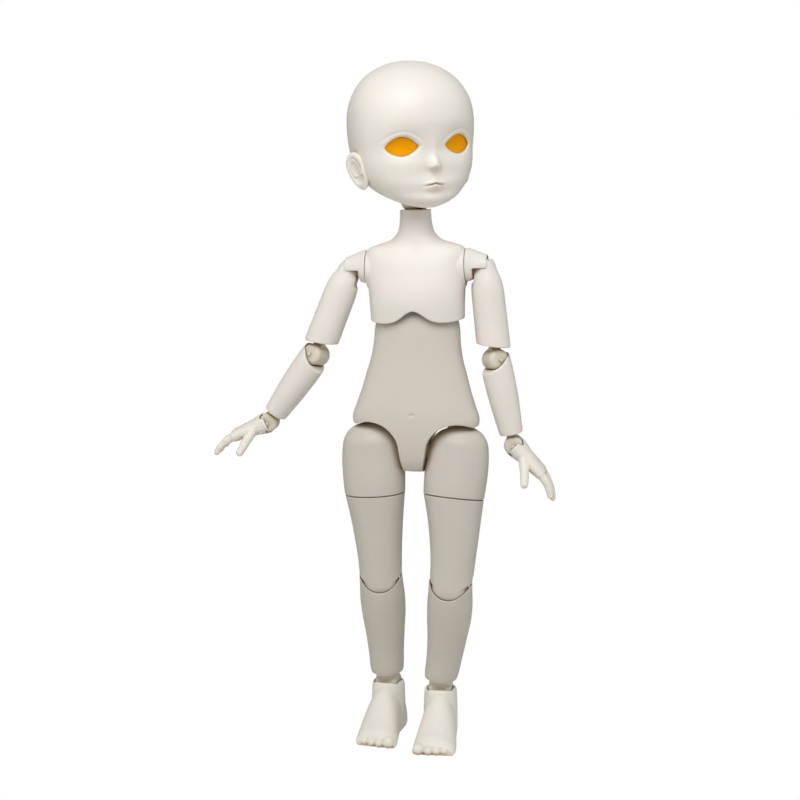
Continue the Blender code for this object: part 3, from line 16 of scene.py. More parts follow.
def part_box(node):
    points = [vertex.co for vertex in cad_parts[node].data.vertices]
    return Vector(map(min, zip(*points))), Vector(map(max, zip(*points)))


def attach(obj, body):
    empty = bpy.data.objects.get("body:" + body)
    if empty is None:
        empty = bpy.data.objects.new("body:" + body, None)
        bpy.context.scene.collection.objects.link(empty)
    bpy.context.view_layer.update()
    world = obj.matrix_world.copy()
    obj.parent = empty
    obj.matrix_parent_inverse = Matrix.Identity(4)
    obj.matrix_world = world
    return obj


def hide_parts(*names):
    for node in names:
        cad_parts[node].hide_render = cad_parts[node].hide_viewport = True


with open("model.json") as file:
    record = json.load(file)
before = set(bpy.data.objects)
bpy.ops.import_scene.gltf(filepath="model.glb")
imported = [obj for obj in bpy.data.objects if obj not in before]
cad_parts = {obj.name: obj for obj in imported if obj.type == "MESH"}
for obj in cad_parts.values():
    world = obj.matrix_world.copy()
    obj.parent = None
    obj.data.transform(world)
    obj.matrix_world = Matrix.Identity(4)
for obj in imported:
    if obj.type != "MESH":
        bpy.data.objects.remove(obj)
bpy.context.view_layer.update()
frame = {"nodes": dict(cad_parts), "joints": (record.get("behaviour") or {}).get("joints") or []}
joints = {joint["name"]: joint for joint in frame["joints"]}

# Fineness of the meshes
SIDES = 112
ROUND_SIDES = 72
ROWS = 90
VOXEL = 0.00034
FINE_VOXEL = 0.00023
HEAD_COLUMNS = 270
HEAD_ROWS = 230

# Clearances, as in the CAD model
CLEARANCE = 0.0003
RUNNING_GAP = 0.0004
OVERRUN = 0.002

# Angles that no joint's axis gives
HEAD_TILT = -2.0
HAND_BENDS = {"left": 32.0, "right": 31.0}

# Belly and chest
HIP_WIDTH = 0.0562
TORSO_DEPTH = 0.0272
STRIP_CLEARANCE = 0.0008
WAIST_RISE = 0.0596
BELLY_CROWN = 0.0076
NAVEL_RISE = 0.0174
CHEST_RISE = 0.0460
CHEST_WIDTH = 0.0434
CHEST_DEPTH = 0.0316
CHEST_WALL = 0.0013
CHEST_HOLLOW_RISE = 0.0102
RIM_PEAK = 0.0054
RIM_PEAK_SPREAD = 0.0062
RIM_SIDE_LIFT = 0.0017
THROAT_RISE = 0.0305

# Head
HEAD_HEIGHT = 0.0630
HEAD_WIDTH = 0.0546
HEAD_DEPTH = 0.0600
HEAD_WALL = 0.0024
NECK_RISE = 0.0510
NECK_SET_BACK = 0.0010
CHIN_DROP = 0.0043
HEAD_SET_BACK = 0.0020
NECK_BALL_RADIUS = 0.0068
CAP_SEAM_SET_BACK = 0.0070
EYE_SPACING = 0.0254
EYE_RISE = 0.0262
EYE_OPENING_WIDTH = 0.0130
EYE_OPENING_HEIGHT = 0.0082
EYE_DIAMETER = 0.0140
EYE_BALL_RADIUS = 0.0080
EYE_INSET = 0.0013
EAR_RISE = 0.0172
EAR_HEIGHT = 0.0168
EAR_LENGTH = 0.0112
EAR_THICKNESS = 0.0046
EAR_SET_BACK = 0.0035
NOSE_RISE = 0.0178
MOUTH_RISE = 0.0098

# Arms
SHOULDER_SPACING = 0.0598
SHOULDER_BALL_RADIUS = 0.0046
SHOULDER_KNUCKLE_RADIUS = 0.0034
SHOULDER_TONGUE = 0.0044
SHOULDER_WEB_THICKNESS = 0.0028
SHOULDER_WEB_RADIUS = 0.0064
SHOULDER_CAP_RADIUS = 0.0088
SHOULDER_CAP_REACH = 0.0015
SHOULDER_CAP_BORE_RADIUS = 0.0050
SHOULDER_BOSS_DEPTH = 0.0075
UPPER_ARM_LENGTH = 0.0405
UPPER_ARM_WIDTH = 0.0146
ARM_END_SLOPE_SHARE = 0.24
ELBOW_RADIUS = 0.0047
ELBOW_WIDTH = 0.0098
FOREARM_LENGTH = 0.0385
FOREARM_WIDTH = 0.0136
WRIST_RADIUS = 0.0042
WRIST_WIDTH = 0.0072
ARM_SHAFT_RADIUS = 0.0022
HAND_LENGTH = 0.0308
PALM_WIDTH = 0.0134
PALM_THICKNESS = 0.0070
FINGER_RADIUS = 0.00185
THUMB_RADIUS = 0.0022

# Legs
HIP_SPACING = 0.0382
HIP_BOSS_RADIUS = 0.0042
HIP_BOSS_REACH = 0.0076
HIP_TONGUE = 0.0052
HIP_KNUCKLE_RADIUS = 0.0042
THIGH_WIDTH = 0.0277
THIGH_DEPTH = 0.0262
THIGH_TOP = 0.0118
THIGH_SEAM_DROP = 0.0196
THIGH_LENGTH = 0.0605
KNEE_WIDTH = 0.0186
KNEE_RADIUS = 0.0081
KNEE_KNOB_WIDTH = 0.0166
KNEE_KNOB_SQUARENESS = 2.4
KNEE_LINE_DROP = 0.0013
KNEE_LINE_RISE = 0.0050
KNEE_LUG_ROOM_RADIUS = 0.0072
KNEE_LUG_PLACE = 0.0067
KNEE_PIN_RADIUS = 0.0010
KNEE_OFFSETS = {"left": 0.0030, "right": 0.0006}
KNEE_NOTCH_SHARE = 1.95
CALF_NOTCH_SHARE = 1.02
SHIN_LENGTH = 0.0505
SHIN_END_GAP = 0.0068
ANKLE_HEIGHT = 0.0215
ANKLE_RADIUS = 0.0052
ANKLE_WIDTH = 0.0104
ANKLE_NECK_THICKNESS = 0.0088
ANKLE_SHAFT_RADIUS = 0.0028
FOOT_HEEL = 0.0125
FOOT_TOE = 0.0315
FOOT_WIDTH = 0.0186
COLLAR_WIDTH = 0.0152
COLLAR_DEPTH = 0.0164
FOOT_CURVES = {"left": 0.0, "right": 0.0042}

# Sections as shares: along the piece, half width, front and back depth, set-back
# (all of half the width or half the depth), then the squareness.
BELLY_SHARES = (
    (-0.134, 0.18, 0.25, 0.32, 0, 2.2),
    (-0.122, 0.33, 0.49, 0.56, 0, 2.2),
    (-0.075, 0.54, 0.71, 0.78, 0, 2.2),
    (0, 0.74, 0.85, 0.93, 0, 2.2),
    (0.090, 0.905, 0.935, 0.98, 0, 2.2),
    (0.164, 0.98, 0.97, 0.99, 0, 2.2),
    (0.216, 1, 0.99, 0.98, 0, 2.2),
    (0.30, 0.94, 1, 0.925, 0, 2.2),
    (0.40, 0.86, 0.98, 0.86, 0, 2.2),
    (0.505, 0.79, 0.95, 0.81, 0, 2.2),
    (0.61, 0.72, 0.92, 0.78, 0, 2.2),
    (0.715, 0.68, 0.91, 0.77, 0, 2.2),
    (0.80, 0.665, 0.91, 0.77, 0, 2.2),
    (0.85, 0.645, 0.89, 0.76, 0, 2.2),
    (0.895, 0.60, 0.83, 0.71, 0, 2.2),
    (0.94, 0.52, 0.69, 0.62, 0, 2.1),
    (0.98, 0.355, 0.455, 0.425, 0, 2),
    (1, 0.21, 0.265, 0.265, 0, 2),
)
CHEST_SHARES = (
    (-0.070, 0.94, 0.915, 0.78, 0, 2.5),
    (0, 0.945, 0.95, 0.80, 0, 2.5),
    (0.13, 0.955, 1, 0.815, 0, 2.5),
    (0.26, 0.97, 0.96, 0.82, 0, 2.6),
    (0.39, 0.99, 0.86, 0.80, 0, 2.7),
    (0.50, 1, 0.76, 0.75, 0, 2.9),
    (0.587, 0.995, 0.645, 0.67, 0, 3.2),
    (0.64, 0.95, 0.555, 0.595, 0, 3),
    (0.674, 0.78, 0.495, 0.545, 0, 2.5),
    (0.722, 0.50, 0.455, 0.50, 0.03, 2.1),
    (0.787, 0.373, 0.437, 0.45, 0.063, 2),
    (0.87, 0.327, 0.418, 0.424, 0.063, 2),
    (1, 0.313, 0.424, 0.424, 0.063, 2),
)
HEAD_SHARES = (
    (0, 0.09, 0.073, 0.067, -0.533, 2),
    (0.013, 0.22, 0.133, 0.183, -0.50, 2),
    (0.035, 0.366, 0.247, 0.367, -0.467, 2),
    (0.067, 0.513, 0.327, 0.567, -0.42, 2),
    (0.111, 0.652, 0.42, 0.75, -0.333, 2),
    (0.167, 0.777, 0.527, 0.86, -0.25, 2.05),
    (0.23, 0.872, 0.607, 0.90, -0.17, 2.1),
    (0.302, 0.93, 0.697, 0.925, -0.11, 2.15),
    (0.381, 0.955, 0.747, 0.935, -0.075, 2.2),
    (0.476, 0.98, 0.82, 0.945, -0.06, 2.2),
    (0.587, 0.99, 0.873, 0.955, -0.06, 2.15),
    (0.683, 0.972, 0.867, 0.925, -0.055, 2.1),
    (0.778, 0.90, 0.807, 0.85, -0.045, 2.05),
    (0.857, 0.785, 0.70, 0.74, -0.03, 2),
    (0.921, 0.623, 0.553, 0.595, -0.012, 2),
    (0.968, 0.418, 0.367, 0.405, 0.005, 2),
    (0.994, 0.205, 0.18, 0.206, 0.013, 2),
    (1, 0.073, 0.067, 0.073, 0.013, 2),
)
UPPER_ARM_SHARES = (
    (0, 0.645, 0.665, 0.665, 0, 2),
    (0.045, 0.70, 0.71, 0.71, 0, 2),
    (0.10, 0.80, 0.79, 0.79, 0, 2),
    (0.165, 0.90, 0.875, 0.875, 0, 2),
    (0.26, 0.965, 0.93, 0.935, 0, 2),
    (0.42, 0.98, 0.95, 0.955, 0, 2),
    (0.62, 0.995, 0.96, 0.965, 0, 2),
    (0.82, 1, 0.96, 0.96, 0, 2),
    (0.874, 0.99, 0.95, 0.95, 0, 2),
    (0.894, 0.93, 0.89, 0.89, 0, 2),
)
FOREARM_SHARES = (
    (-0.09, 0.70, 0.70, 0.72, 0, 2),
    (-0.05, 0.90, 0.88, 0.92, 0, 2),
    (0.05, 0.99, 0.98, 0.99, 0, 2),
    (0.20, 1, 1, 1, 0, 2),
    (0.45, 0.96, 0.95, 0.96, 0, 2),
    (0.70, 0.86, 0.84, 0.84, 0, 2),
    (0.84, 0.80, 0.76, 0.76, 0, 2),
    (0.87, 0.78, 0.73, 0.73, 0, 2),
)
THIGH_TOP_SHARES = (
    (-1, 0.25, 0.22, 0.22, 0, 2),
    (-0.92, 0.49, 0.42, 0.42, 0, 2),
    (-0.72, 0.74, 0.66, 0.66, 0, 2),
    (-0.42, 0.90, 0.82, 0.82, 0, 2.05),
    (0, 0.97, 0.87, 0.88, 0, 2.1),
    (0.45, 1, 0.90, 0.93, 0, 2.1),
    (0.90, 1, 0.94, 0.97, 0, 2.1),
    (1.30, 0.985, 0.97, 0.99, 0, 2.1),
    (1.66, 0.965, 0.975, 0.99, 0, 2.1),
)
LOWER_THIGH_SHARES = (
    (0, 0.955, 0.975, 0.99, 0, 2.1),
    (0.12, 0.90, 0.93, 0.94, 0, 2.1),
    (0.25, 0.845, 0.87, 0.87, 0, 2.1),
    (0.47, 0.77, 0.79, 0.77, 0, 2.1),
    (0.69, 0.71, 0.71, 0.69, 0, 2.1),
    (0.90, 0.685, 0.645, 0.635, 0, 2.1),
    (1.03, 0.68, 0.62, 0.61, 0, 2.1),
)
SHIN_SHARES = (
    (0, 1.04, 1, 1, 0, 2),
    (0.12, 1.075, 1.03, 1.06, 0.02, 2),
    (0.28, 1.055, 0.99, 1.12, 0.06, 2),
    (0.47, 0.95, 0.89, 1.01, 0.06, 2),
    (0.68, 0.855, 0.80, 0.86, 0.03, 2),
    (0.845, 0.80, 0.77, 0.79, 0, 2),
    (0.865, 0.785, 0.75, 0.76, 0, 2),
)
FOOT_SHARES = (
    (0, 0.30, 0.30),
    (0.035, 0.56, 0.56),
    (0.12, 0.72, 0.82),
    (0.25, 0.79, 0.98),
    (0.38, 0.83, 1.0),
    (0.50, 0.88, 0.90),
    (0.64, 0.96, 0.66),
    (0.78, 1.01, 0.43),
    (0.89, 1.01, 0.29),
    (0.935, 0.96, 0.19),
)
TOE_SHARES = (
    (-0.80, 1.0, 0.295), (-0.27, 0.99, 0.235), (0.17, 0.975, 0.22), (0.58, 0.955, 0.21), (0.93, 0.925, 0.19),
)
PALM_SHARES = (
    (0.02, 0.78, 1.38, 1.38, 0, 2),
    (0.10, 0.80, 1.32, 1.32, 0, 2),
    (0.22, 0.86, 1.08, 1.10, 0, 2),
    (0.36, 0.97, 0.95, 0.97, 0, 2.2),
    (0.50, 1, 0.84, 0.86, 0, 2.3),
    (0.575, 0.98, 0.70, 0.74, 0, 2.3),
    (0.60, 0.90, 0.48, 0.52, 0, 2.2),
)
FINGER_SHARES = ((0.71, 0.40, 1.0), (0.24, 0.455, 1.0), (-0.23, 0.43, 0.98), (-0.68, 0.345, 0.90))
ALMOND_SHARES = (
    (-1, -0.10), (-0.72, 0.46), (-0.25, 0.93), (0.25, 1), (0.72, 0.62),
    (1, -0.02), (0.72, -0.62), (0.15, -0.96), (-0.45, -0.78),
)


# Frames of the joints

def axis_of(name, sign=1):
    return sign * np.array(joints[name]["axis"], float)


def place_of(name):
    return np.array(joints[name]["pos_m"], float)


def basis(origin, x=None, y=None, z=None):
    """A 4x4 frame from its origin and two of its axes."""
    if x is None:
        x = np.cross(y, z)
    elif y is None:
        y = np.cross(z, x)
    x = x / np.linalg.norm(x)
    y = y / np.linalg.norm(y)
    z = np.cross(x, y)
    made = np.eye(4)
    made[:3, 0], made[:3, 1], made[:3, 2], made[:3, 3] = x, y, z, origin
    return made


def turn_about(axis, degrees):
    return np.array(Matrix.Rotation(radians(degrees), 4, axis))


# Meshes

def mesh_from(name, points, faces):
    """A mesh object at the origin from an array of points and a list of faces."""
    mesh = bpy.data.meshes.new(name)
    mesh.from_pydata(points.tolist(), [], faces)
    mesh.update()
    made = bpy.data.objects.new(name, mesh)
    bpy.context.scene.collection.objects.link(made)
    return made


def skin(name, rings):
    """A closed skin over rings of equal count, each end drawn to its own centre."""
    rings = np.asarray(rings, float)
    rows, sides = rings.shape[:2]
    points = np.vstack([rings.reshape(-1, 3), rings[0].mean(0), rings[-1].mean(0)])
    i = np.arange(rows - 1)[:, None] * sides
    j = np.arange(sides)[None, :]
    k = (j + 1) % sides
    quads = np.stack([i + j, i + k, i + sides + k, i + sides + j], -1).reshape(-1, 4)
    first, last = rows * sides, rows * sides + 1
    top = (rows - 1) * sides
    low_fan = [(first, (n + 1) % sides, n) for n in range(sides)]
    high_fan = [(last, top + n, top + (n + 1) % sides) for n in range(sides)]
    a, b, c = points[quads[:, 0]], points[quads[:, 1]], points[quads[:, 2]]
    inside = np.einsum("ij,ij->i", a - points.mean(0), np.cross(b - a, c - a)).sum()
    faces = quads.tolist() + low_fan + high_fan
    if inside < 0:
        faces = [face[::-1] for face in faces]
    return mesh_from(name, points, faces)


def ring(half_width, front, back, height, centre_y=0.0, squareness=2.0, sides=SIDES, centre_x=0.0):
    """One superellipse ring at a height, with its own front and back depth."""
    angle = np.linspace(0, 2 * pi, sides, endpoint=False)
    c, s = np.cos(angle), np.sin(angle)
    x = half_width * np.abs(c) ** (2 / squareness) * np.sign(c)
    depth = np.where(s > 0, back, front)
    y = depth * np.abs(s) ** (2 / squareness) * np.sign(s)
    return np.stack([centre_x + x, centre_y + y, np.full(sides, height)], 1)


def fine_rows(table, rows=ROWS):
    """Rows between listed ones: cubic curves with the table's own slopes, evenly spaced."""
    table = np.asarray(table, float)
    steps = np.hypot(np.diff(table[:, 0]), np.diff(table[:, 1]))
    s = np.concatenate([[0], np.cumsum(steps)])
    slope = np.gradient(table, s, axis=0)
    at = np.linspace(0, s[-1], rows)
    i = np.clip(np.searchsorted(s, at, side="right") - 1, 0, len(s) - 2)
    span = (s[i + 1] - s[i])[:, None]
    t = ((at - s[i])[:, None]) / span
    return (
        (2 * t ** 3 - 3 * t ** 2 + 1) * table[i]
        + (t ** 3 - 2 * t ** 2 + t) * span * slope[i]
        + (3 * t ** 2 - 2 * t ** 3) * table[i + 1]
        + (t ** 3 - t ** 2) * span * slope[i + 1]
    )


def table_in_metres(shares, length, width, depth, inset=0.0):
    """Heights, half widths, depths and set-backs in metres from a table of shares."""
    return [
        (along * length, wide * width / 2 - inset, front * depth / 2 - inset, back * depth / 2 - inset,
         set_back * depth / 2, squareness)
        for along, wide, front, back, set_back, squareness in shares
    ]


def loft(name, table, rows=ROWS, sides=SIDES, shape=None):
    """A smooth skin through a table in metres; shape may move its points."""
    rings = [
        ring(wide, front, back, height, centre_y, squareness, sides)
        for height, wide, front, back, centre_y, squareness in fine_rows(table, rows)
    ]
    rings = np.array(rings)
    if shape:
        rings = shape(rings)
    return skin(name, rings)


def turned(name, profile, axis="Z", centre=(0, 0, 0), sides=ROUND_SIDES):
    """A profile of (place along the axis, radius) turned round that axis."""
    angle = 2 * pi * (np.arange(sides) + 0.5) / sides
    order = {"X": (2, 1, 0), "Y": (0, 2, 1), "Z": (0, 1, 2)}[axis]
    rings = []
    for along, radius in profile:
        points = np.stack([radius * np.cos(angle), radius * np.sin(angle), np.full(sides, along)], 1)
        rings.append(points[:, order] + np.array(centre))
    return skin(name, rings)


def rod(name, start, end, radius, axis="Z", centre=(0, 0, 0), sides=ROUND_SIDES):
    return turned(name, ((start, radius), (end, radius)), axis, centre, sides)


def ball(name, radius, centre=(0, 0, 0), sides=ROUND_SIDES):
    steps = sides // 2
    profile = [(-radius * cos(pi * i / steps), radius * sin(pi * i / steps)) for i in range(1, steps)]
    return turned(name, profile, "Z", centre, sides)


def barrel(name, radius, width, axis="X", share=0.4):
    """A cylinder across a joint whose ends are rounded over."""
    over = min(radius, width / 2) * share
    angles = np.linspace(0, pi / 2, 10)
    left = [(-width / 2 + over * (1 - cos(t)), radius - over * (1 - sin(t))) for t in angles]
    right = [(-along, around) for along, around in left[::-1]]
    return turned(name, left + right, axis)


def prism(name, outline, low, high, axis="Y"):
    """An outline of (across, up) points pushed straight along X or Y."""
    outline = np.asarray(outline, float)
    rings = []
    for depth in (low, high):
        level = np.full(len(outline), depth)
        columns = (outline[:, 0], level, outline[:, 1]) if axis == "Y" else (level, outline[:, 0],
            outline[:, 1])
        rings.append(np.stack(columns, 1))
    count = len(outline)
    faces = [(i, (i + 1) % count, count + (i + 1) % count, count + i) for i in range(count)]
    faces += [tuple(range(count))[::-1], tuple(range(count, 2 * count))]
    across, up = outline[:, 0], outline[:, 1]
    area = (across * np.roll(up, -1) - up * np.roll(across, -1)).sum()
    if (area > 0) == (axis == "Y"):
        faces = [face[::-1] for face in faces]
    return mesh_from(name, np.vstack(rings), faces)


def slab(name, low, high):
    outline = ((low[0], low[2]), (high[0], low[2]), (high[0], high[2]), (low[0], high[2]))
    return prism(name, outline, low[1], high[1])


def hull(points):
    """The convex outline round some points, in one turning sense."""
    ordered = sorted(set(points))
    chains = []
    for run in (ordered, ordered[::-1]):
        chain = []
        for point in run:
            while len(chain) > 1:
                a, b = chain[-2], chain[-1]
                if (b[0] - a[0]) * (point[1] - a[1]) - (b[1] - a[1]) * (point[0] - a[0]) > 0:
                    break
                chain.pop()
            chain.append(point)
        chains += chain[:-1]
    return chains


def swept_bar(reach, first, last, half_width, steps=10):
    """The convex outline that a bar of a half width sweeps about the origin, in degrees."""
    points = []
    for i in range(steps + 1):
        angle = radians(first + (last - first) * i / steps)
        across, up = cos(angle), sin(angle)
        for edge in (-half_width, half_width):
            points.append((reach * across - edge * up, reach * up + edge * across))
            points.append((-edge * up, edge * across))
    return hull(points)


def arc(radius, first, last, steps, centre=(0, 0)):
    """Points of an arc, in degrees."""
    return [
        (centre[0] + radius * cos(radians(first + (last - first) * i / steps)),
         centre[1] + radius * sin(radians(first + (last - first) * i / steps)))
        for i in range(steps + 1)
    ]


def finish_piece(made, place, body, finish, node=None, joined=(), cutters=(), voxel=VOXEL, ease=6):
    """Joins and cuts a piece, melts it to one even skin with soft edges, and seats it on its body."""
    for tools, operation in ((joined, "UNION"), (cutters, "DIFFERENCE")):
        for tool in tools:
            step = made.modifiers.new(tool.name, "BOOLEAN")
            step.object = tool
            step.operation = operation
            step.solver = "MANIFOLD"
    if voxel:
        remesh = made.modifiers.new("melt", "REMESH")
        remesh.mode = "VOXEL"
        remesh.voxel_size = voxel
    if ease:
        smooth = made.modifiers.new("ease", "SMOOTH")
        smooth.factor = 0.5
        smooth.iterations = ease
    view = made.evaluated_get(bpy.context.evaluated_depsgraph_get())
    mesh = bpy.data.meshes.new_from_object(view)
    made.modifiers.clear()
    made.data = mesh
    for tool in (*joined, *cutters):
        bpy.data.objects.remove(tool)
    mesh.transform(Matrix(place))
    mesh.shade_smooth()
    if not voxel:
        mesh.set_sharp_from_angle(angle=radians(38))
    mesh.materials.clear()
    mesh.materials.append(finish)
    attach(made, body)
    if node:
        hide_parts(node)
    return made


# Finishes

def tone_group():
    """A shader group: slow tone drift, painted warm shade in the crevices (the base darkened towards a brown
    where ambient occlusion finds nearby surfaces), fine grain and roughness.
    """
    group = bpy.data.node_groups.new("moulded_tone_and_painted_shade", "ShaderNodeTree")
    face = group.interface
    for label, kind in (("Base", "NodeSocketColor"), ("Painted_crevice_shade", "NodeSocketColor"),
            ("Reach", "NodeSocketFloat")):
        face.new_socket(name=label, in_out="INPUT", socket_type=kind)
    for label, kind in (("Color", "NodeSocketColor"), ("Roughness", "NodeSocketFloat"),
            ("Normal", "NodeSocketVector")):
        face.new_socket(name=label, in_out="OUTPUT", socket_type=kind)
    nodes, links = group.nodes, group.links
    source = nodes.new("NodeGroupInput")
    sink = nodes.new("NodeGroupOutput")
    place = nodes.new("ShaderNodeTexCoord")

    drift = nodes.new("ShaderNodeTexNoise")
    drift.inputs["Scale"].default_value = 38
    drift.inputs["Detail"].default_value = 3
    drift_tone = nodes.new("ShaderNodeMapRange")
    drift_tone.inputs["To Min"].default_value = 0.965
    drift_tone.inputs["To Max"].default_value = 1.02
    tinted = nodes.new("ShaderNodeVectorMath")
    tinted.operation = "SCALE"

    # Painted shade: ambient occlusion within the reach darkens the base towards the warm crevice colour in
    # corners, gaps and hollows.
    painted_shade_ao = nodes.new("ShaderNodeAmbientOcclusion")
    painted_shade_ao.samples = 6
    unshaded_share = nodes.new("ShaderNodeMapRange")
    unshaded_share.interpolation_type = "SMOOTHSTEP"
    unshaded_share.inputs["From Min"].default_value = 0.25
    unshaded_share.inputs["From Max"].default_value = 0.92
    mix = nodes.new("ShaderNodeMix")
    mix.data_type = "RGBA"

    grain = nodes.new("ShaderNodeTexNoise")
    grain.inputs["Scale"].default_value = 1500
    grain.inputs["Detail"].default_value = 2
    bump = nodes.new("ShaderNodeBump")
    bump.inputs["Strength"].default_value = 0.05
    bump.inputs["Distance"].default_value = 0.0001
    rough = nodes.new("ShaderNodeMapRange")
    rough.inputs["To Min"].default_value = 0.40
    rough.inputs["To Max"].default_value = 0.52

    links.new(place.outputs["Object"], drift.inputs["Vector"])
    links.new(place.outputs["Object"], grain.inputs["Vector"])
    links.new(drift.outputs["Fac"], drift_tone.inputs["Value"])
    links.new(source.outputs["Base"], tinted.inputs[0])
    links.new(drift_tone.outputs["Result"], tinted.inputs["Scale"])
    links.new(source.outputs["Reach"], painted_shade_ao.inputs["Distance"])
    links.new(painted_shade_ao.outputs["AO"], unshaded_share.inputs["Value"])
    links.new(unshaded_share.outputs["Result"], mix.inputs["Factor"])
    links.new(source.outputs["Painted_crevice_shade"], mix.inputs["A"])
    links.new(tinted.outputs["Vector"], mix.inputs["B"])
    links.new(mix.outputs["Result"], sink.inputs["Color"])
    links.new(grain.outputs["Fac"], bump.inputs["Height"])
    links.new(bump.outputs["Normal"], sink.inputs["Normal"])
    links.new(drift.outputs["Fac"], rough.inputs["Value"])
    links.new(rough.outputs["Result"], sink.inputs["Roughness"])
    return group


TONE_AND_SHADE = tone_group()


def plastic(name, base, painted_crevice_shade, glow=0.35, radius=0.0022, reach=0.0042):
    """Moulded plastic that light enters a little, tinted by the shared tone group, which paints darker warm
    shade into its crevices.
    """
    made = bpy.data.materials.new(name)
    made.use_nodes = True
    nodes, links = made.node_tree.nodes, made.node_tree.links
    shader = nodes["Principled BSDF"]
    tone = nodes.new("ShaderNodeGroup")
    tone.node_tree = TONE_AND_SHADE
    tone.inputs["Base"].default_value = (*base, 1)
    tone.inputs["Painted_crevice_shade"].default_value = (*painted_crevice_shade, 1)
    tone.inputs["Reach"].default_value = reach
    links.new(tone.outputs["Color"], shader.inputs["Base Color"])
    links.new(tone.outputs["Roughness"], shader.inputs["Roughness"])
    links.new(tone.outputs["Normal"], shader.inputs["Normal"])
    shader.inputs["Subsurface Weight"].default_value = glow
    shader.inputs["Subsurface Radius"].default_value = (1.0, 0.62, 0.38)
    shader.inputs["Subsurface Scale"].default_value = radius
    shader.inputs["Specular IOR Level"].default_value = 0.4
    return made


def steel_finish():
    made = bpy.data.materials.new("pin_steel_finish")
    made.use_nodes = True
    nodes, links = made.node_tree.nodes, made.node_tree.links
    shader = nodes["Principled BSDF"]
    shader.inputs["Base Color"].default_value = (0.60, 0.60, 0.62, 1)
    shader.inputs["Metallic"].default_value = 1
    place = nodes.new("ShaderNodeTexCoord")
    marks = nodes.new("ShaderNodeTexNoise")
    marks.inputs["Scale"].default_value = 900
    rough = nodes.new("ShaderNodeMapRange")
    rough.inputs["To Min"].default_value = 0.22
    rough.inputs["To Max"].default_value = 0.42
    links.new(place.outputs["Object"], marks.inputs["Vector"])
    links.new(marks.outputs["Fac"], rough.inputs["Value"])
    links.new(rough.outputs["Result"], shader.inputs["Roughness"])
    return made


def eye_finish():
    """Flat amber with a faint drift of tone and a faint painted glow: it emits a little of its own colour, so
    it stays bright in shade.
    """
    made = bpy.data.materials.new("eye_amber_finish")
    made.use_nodes = True
    nodes, links = made.node_tree.nodes, made.node_tree.links
    shader = nodes["Principled BSDF"]
    place = nodes.new("ShaderNodeTexCoord")
    drift = nodes.new("ShaderNodeTexNoise")
    drift.inputs["Scale"].default_value = 240
    tone = nodes.new("ShaderNodeMix")
    tone.data_type = "RGBA"
    tone.inputs["A"].default_value = (0.77, 0.315, 0.0, 1)
    tone.inputs["B"].default_value = (0.84, 0.345, 0.0, 1)
    links.new(place.outputs["Object"], drift.inputs["Vector"])
    links.new(drift.outputs["Fac"], tone.inputs["Factor"])
    links.new(tone.outputs["Result"], shader.inputs["Base Color"])
    # Painted glow: the amber emits a little of its own colour.
    links.new(tone.outputs["Result"], shader.inputs["Emission Color"])
    shader.inputs["Emission Strength"].default_value = 0.1
    shader.inputs["Roughness"].default_value = 0.75
    shader.inputs["Specular IOR Level"].default_value = 0.1
    return made


# Each finish's second colour is its painted crevice shade, mixed in where ambient occlusion finds nearby
# surfaces.
IVORY = plastic("ivory_plastic_finish", (0.84, 0.80, 0.745), (0.62, 0.50, 0.38))
# Belly: a darker copy of the ivory, painted shade for the lower torso, which gets less light.
BELLY_PAINTED_SHADE = plastic("belly_painted_shade_finish", (0.68, 0.64, 0.575), (0.50, 0.40, 0.30))
# Head: a slightly lighter copy of the ivory (painted light) whose long reach paints brown shade round the
# brows, nose and eye sockets.
FACE_LIGHT_AND_SHADE = plastic("face_painted_light_and_shade_finish", (0.86, 0.825, 0.76), (0.60, 0.44, 0.28), reach=0.012)
# Thighs and shins: a darker copy of the ivory, painted shade for the legs, which get less light from above.
LEGS_PAINTED_SHADE = plastic("legs_painted_shade_finish", (0.615, 0.58, 0.52), (0.44, 0.36, 0.27))
# Hands and feet: a slightly lighter copy of the ivory, painted light for the pieces that catch more light.
PAINTED_LIGHT_PALE = plastic("hands_feet_painted_light_finish", (0.86, 0.825, 0.755), (0.64, 0.49, 0.34))
JOINT = plastic("joint_plastic_finish", (0.72, 0.68, 0.58), (0.46, 0.35, 0.22))
STEEL = steel_finish()
AMBER = eye_finish()


# Torso

def front_relief(rings, relief, centre_y=0.0):
    """Moves the front half of a loft outward (towards -Y) by relief(x, z)."""
    share = np.clip(-(rings[..., 1] - centre_y) / (np.abs(rings[..., 1]).max(1, keepdims=True) + 1e-9), 0, 1)
    rings[..., 1] -= relief(rings[..., 0], rings[..., 2]) * np.minimum(1, share * 1.6)
    return rings


def bump(x, z, x0, z0, wide, tall, high):
    return high * np.exp(-(((x - x0) / wide) ** 2) - ((z - z0) / tall) ** 2)


def leg_opening(side):
    """The cut round a thigh's top: an arch seen from the front, right through the pelvis."""
    hip = HIP_SPACING / 2
    radius = THIGH_TOP + RUNNING_GAP
    outer = HIP_WIDTH / 2 + OVERRUN
    inner = hip - THIGH_WIDTH / 2 - STRIP_CLEARANCE
    drop = THIGH_TOP + OVERRUN
    outline = [(side * outer, -drop), (side * outer, radius + RUNNING_GAP)]
    steps = 30
    for i in range(steps + 1):
        angle = radians(60 + 108 * i / steps)
        outline.append((side * (hip + radius * 1.08 * cos(angle)), radius * sin(angle) + RUNNING_GAP * 2))
    outline.append((side * (inner + STRIP_CLEARANCE), -radius / 4))
    outline.append((side * inner, -drop / 2))
    outline.append((side * inner, -drop))
    return prism(f"leg_cut_{side}", outline, -TORSO_DEPTH, TORSO_DEPTH)


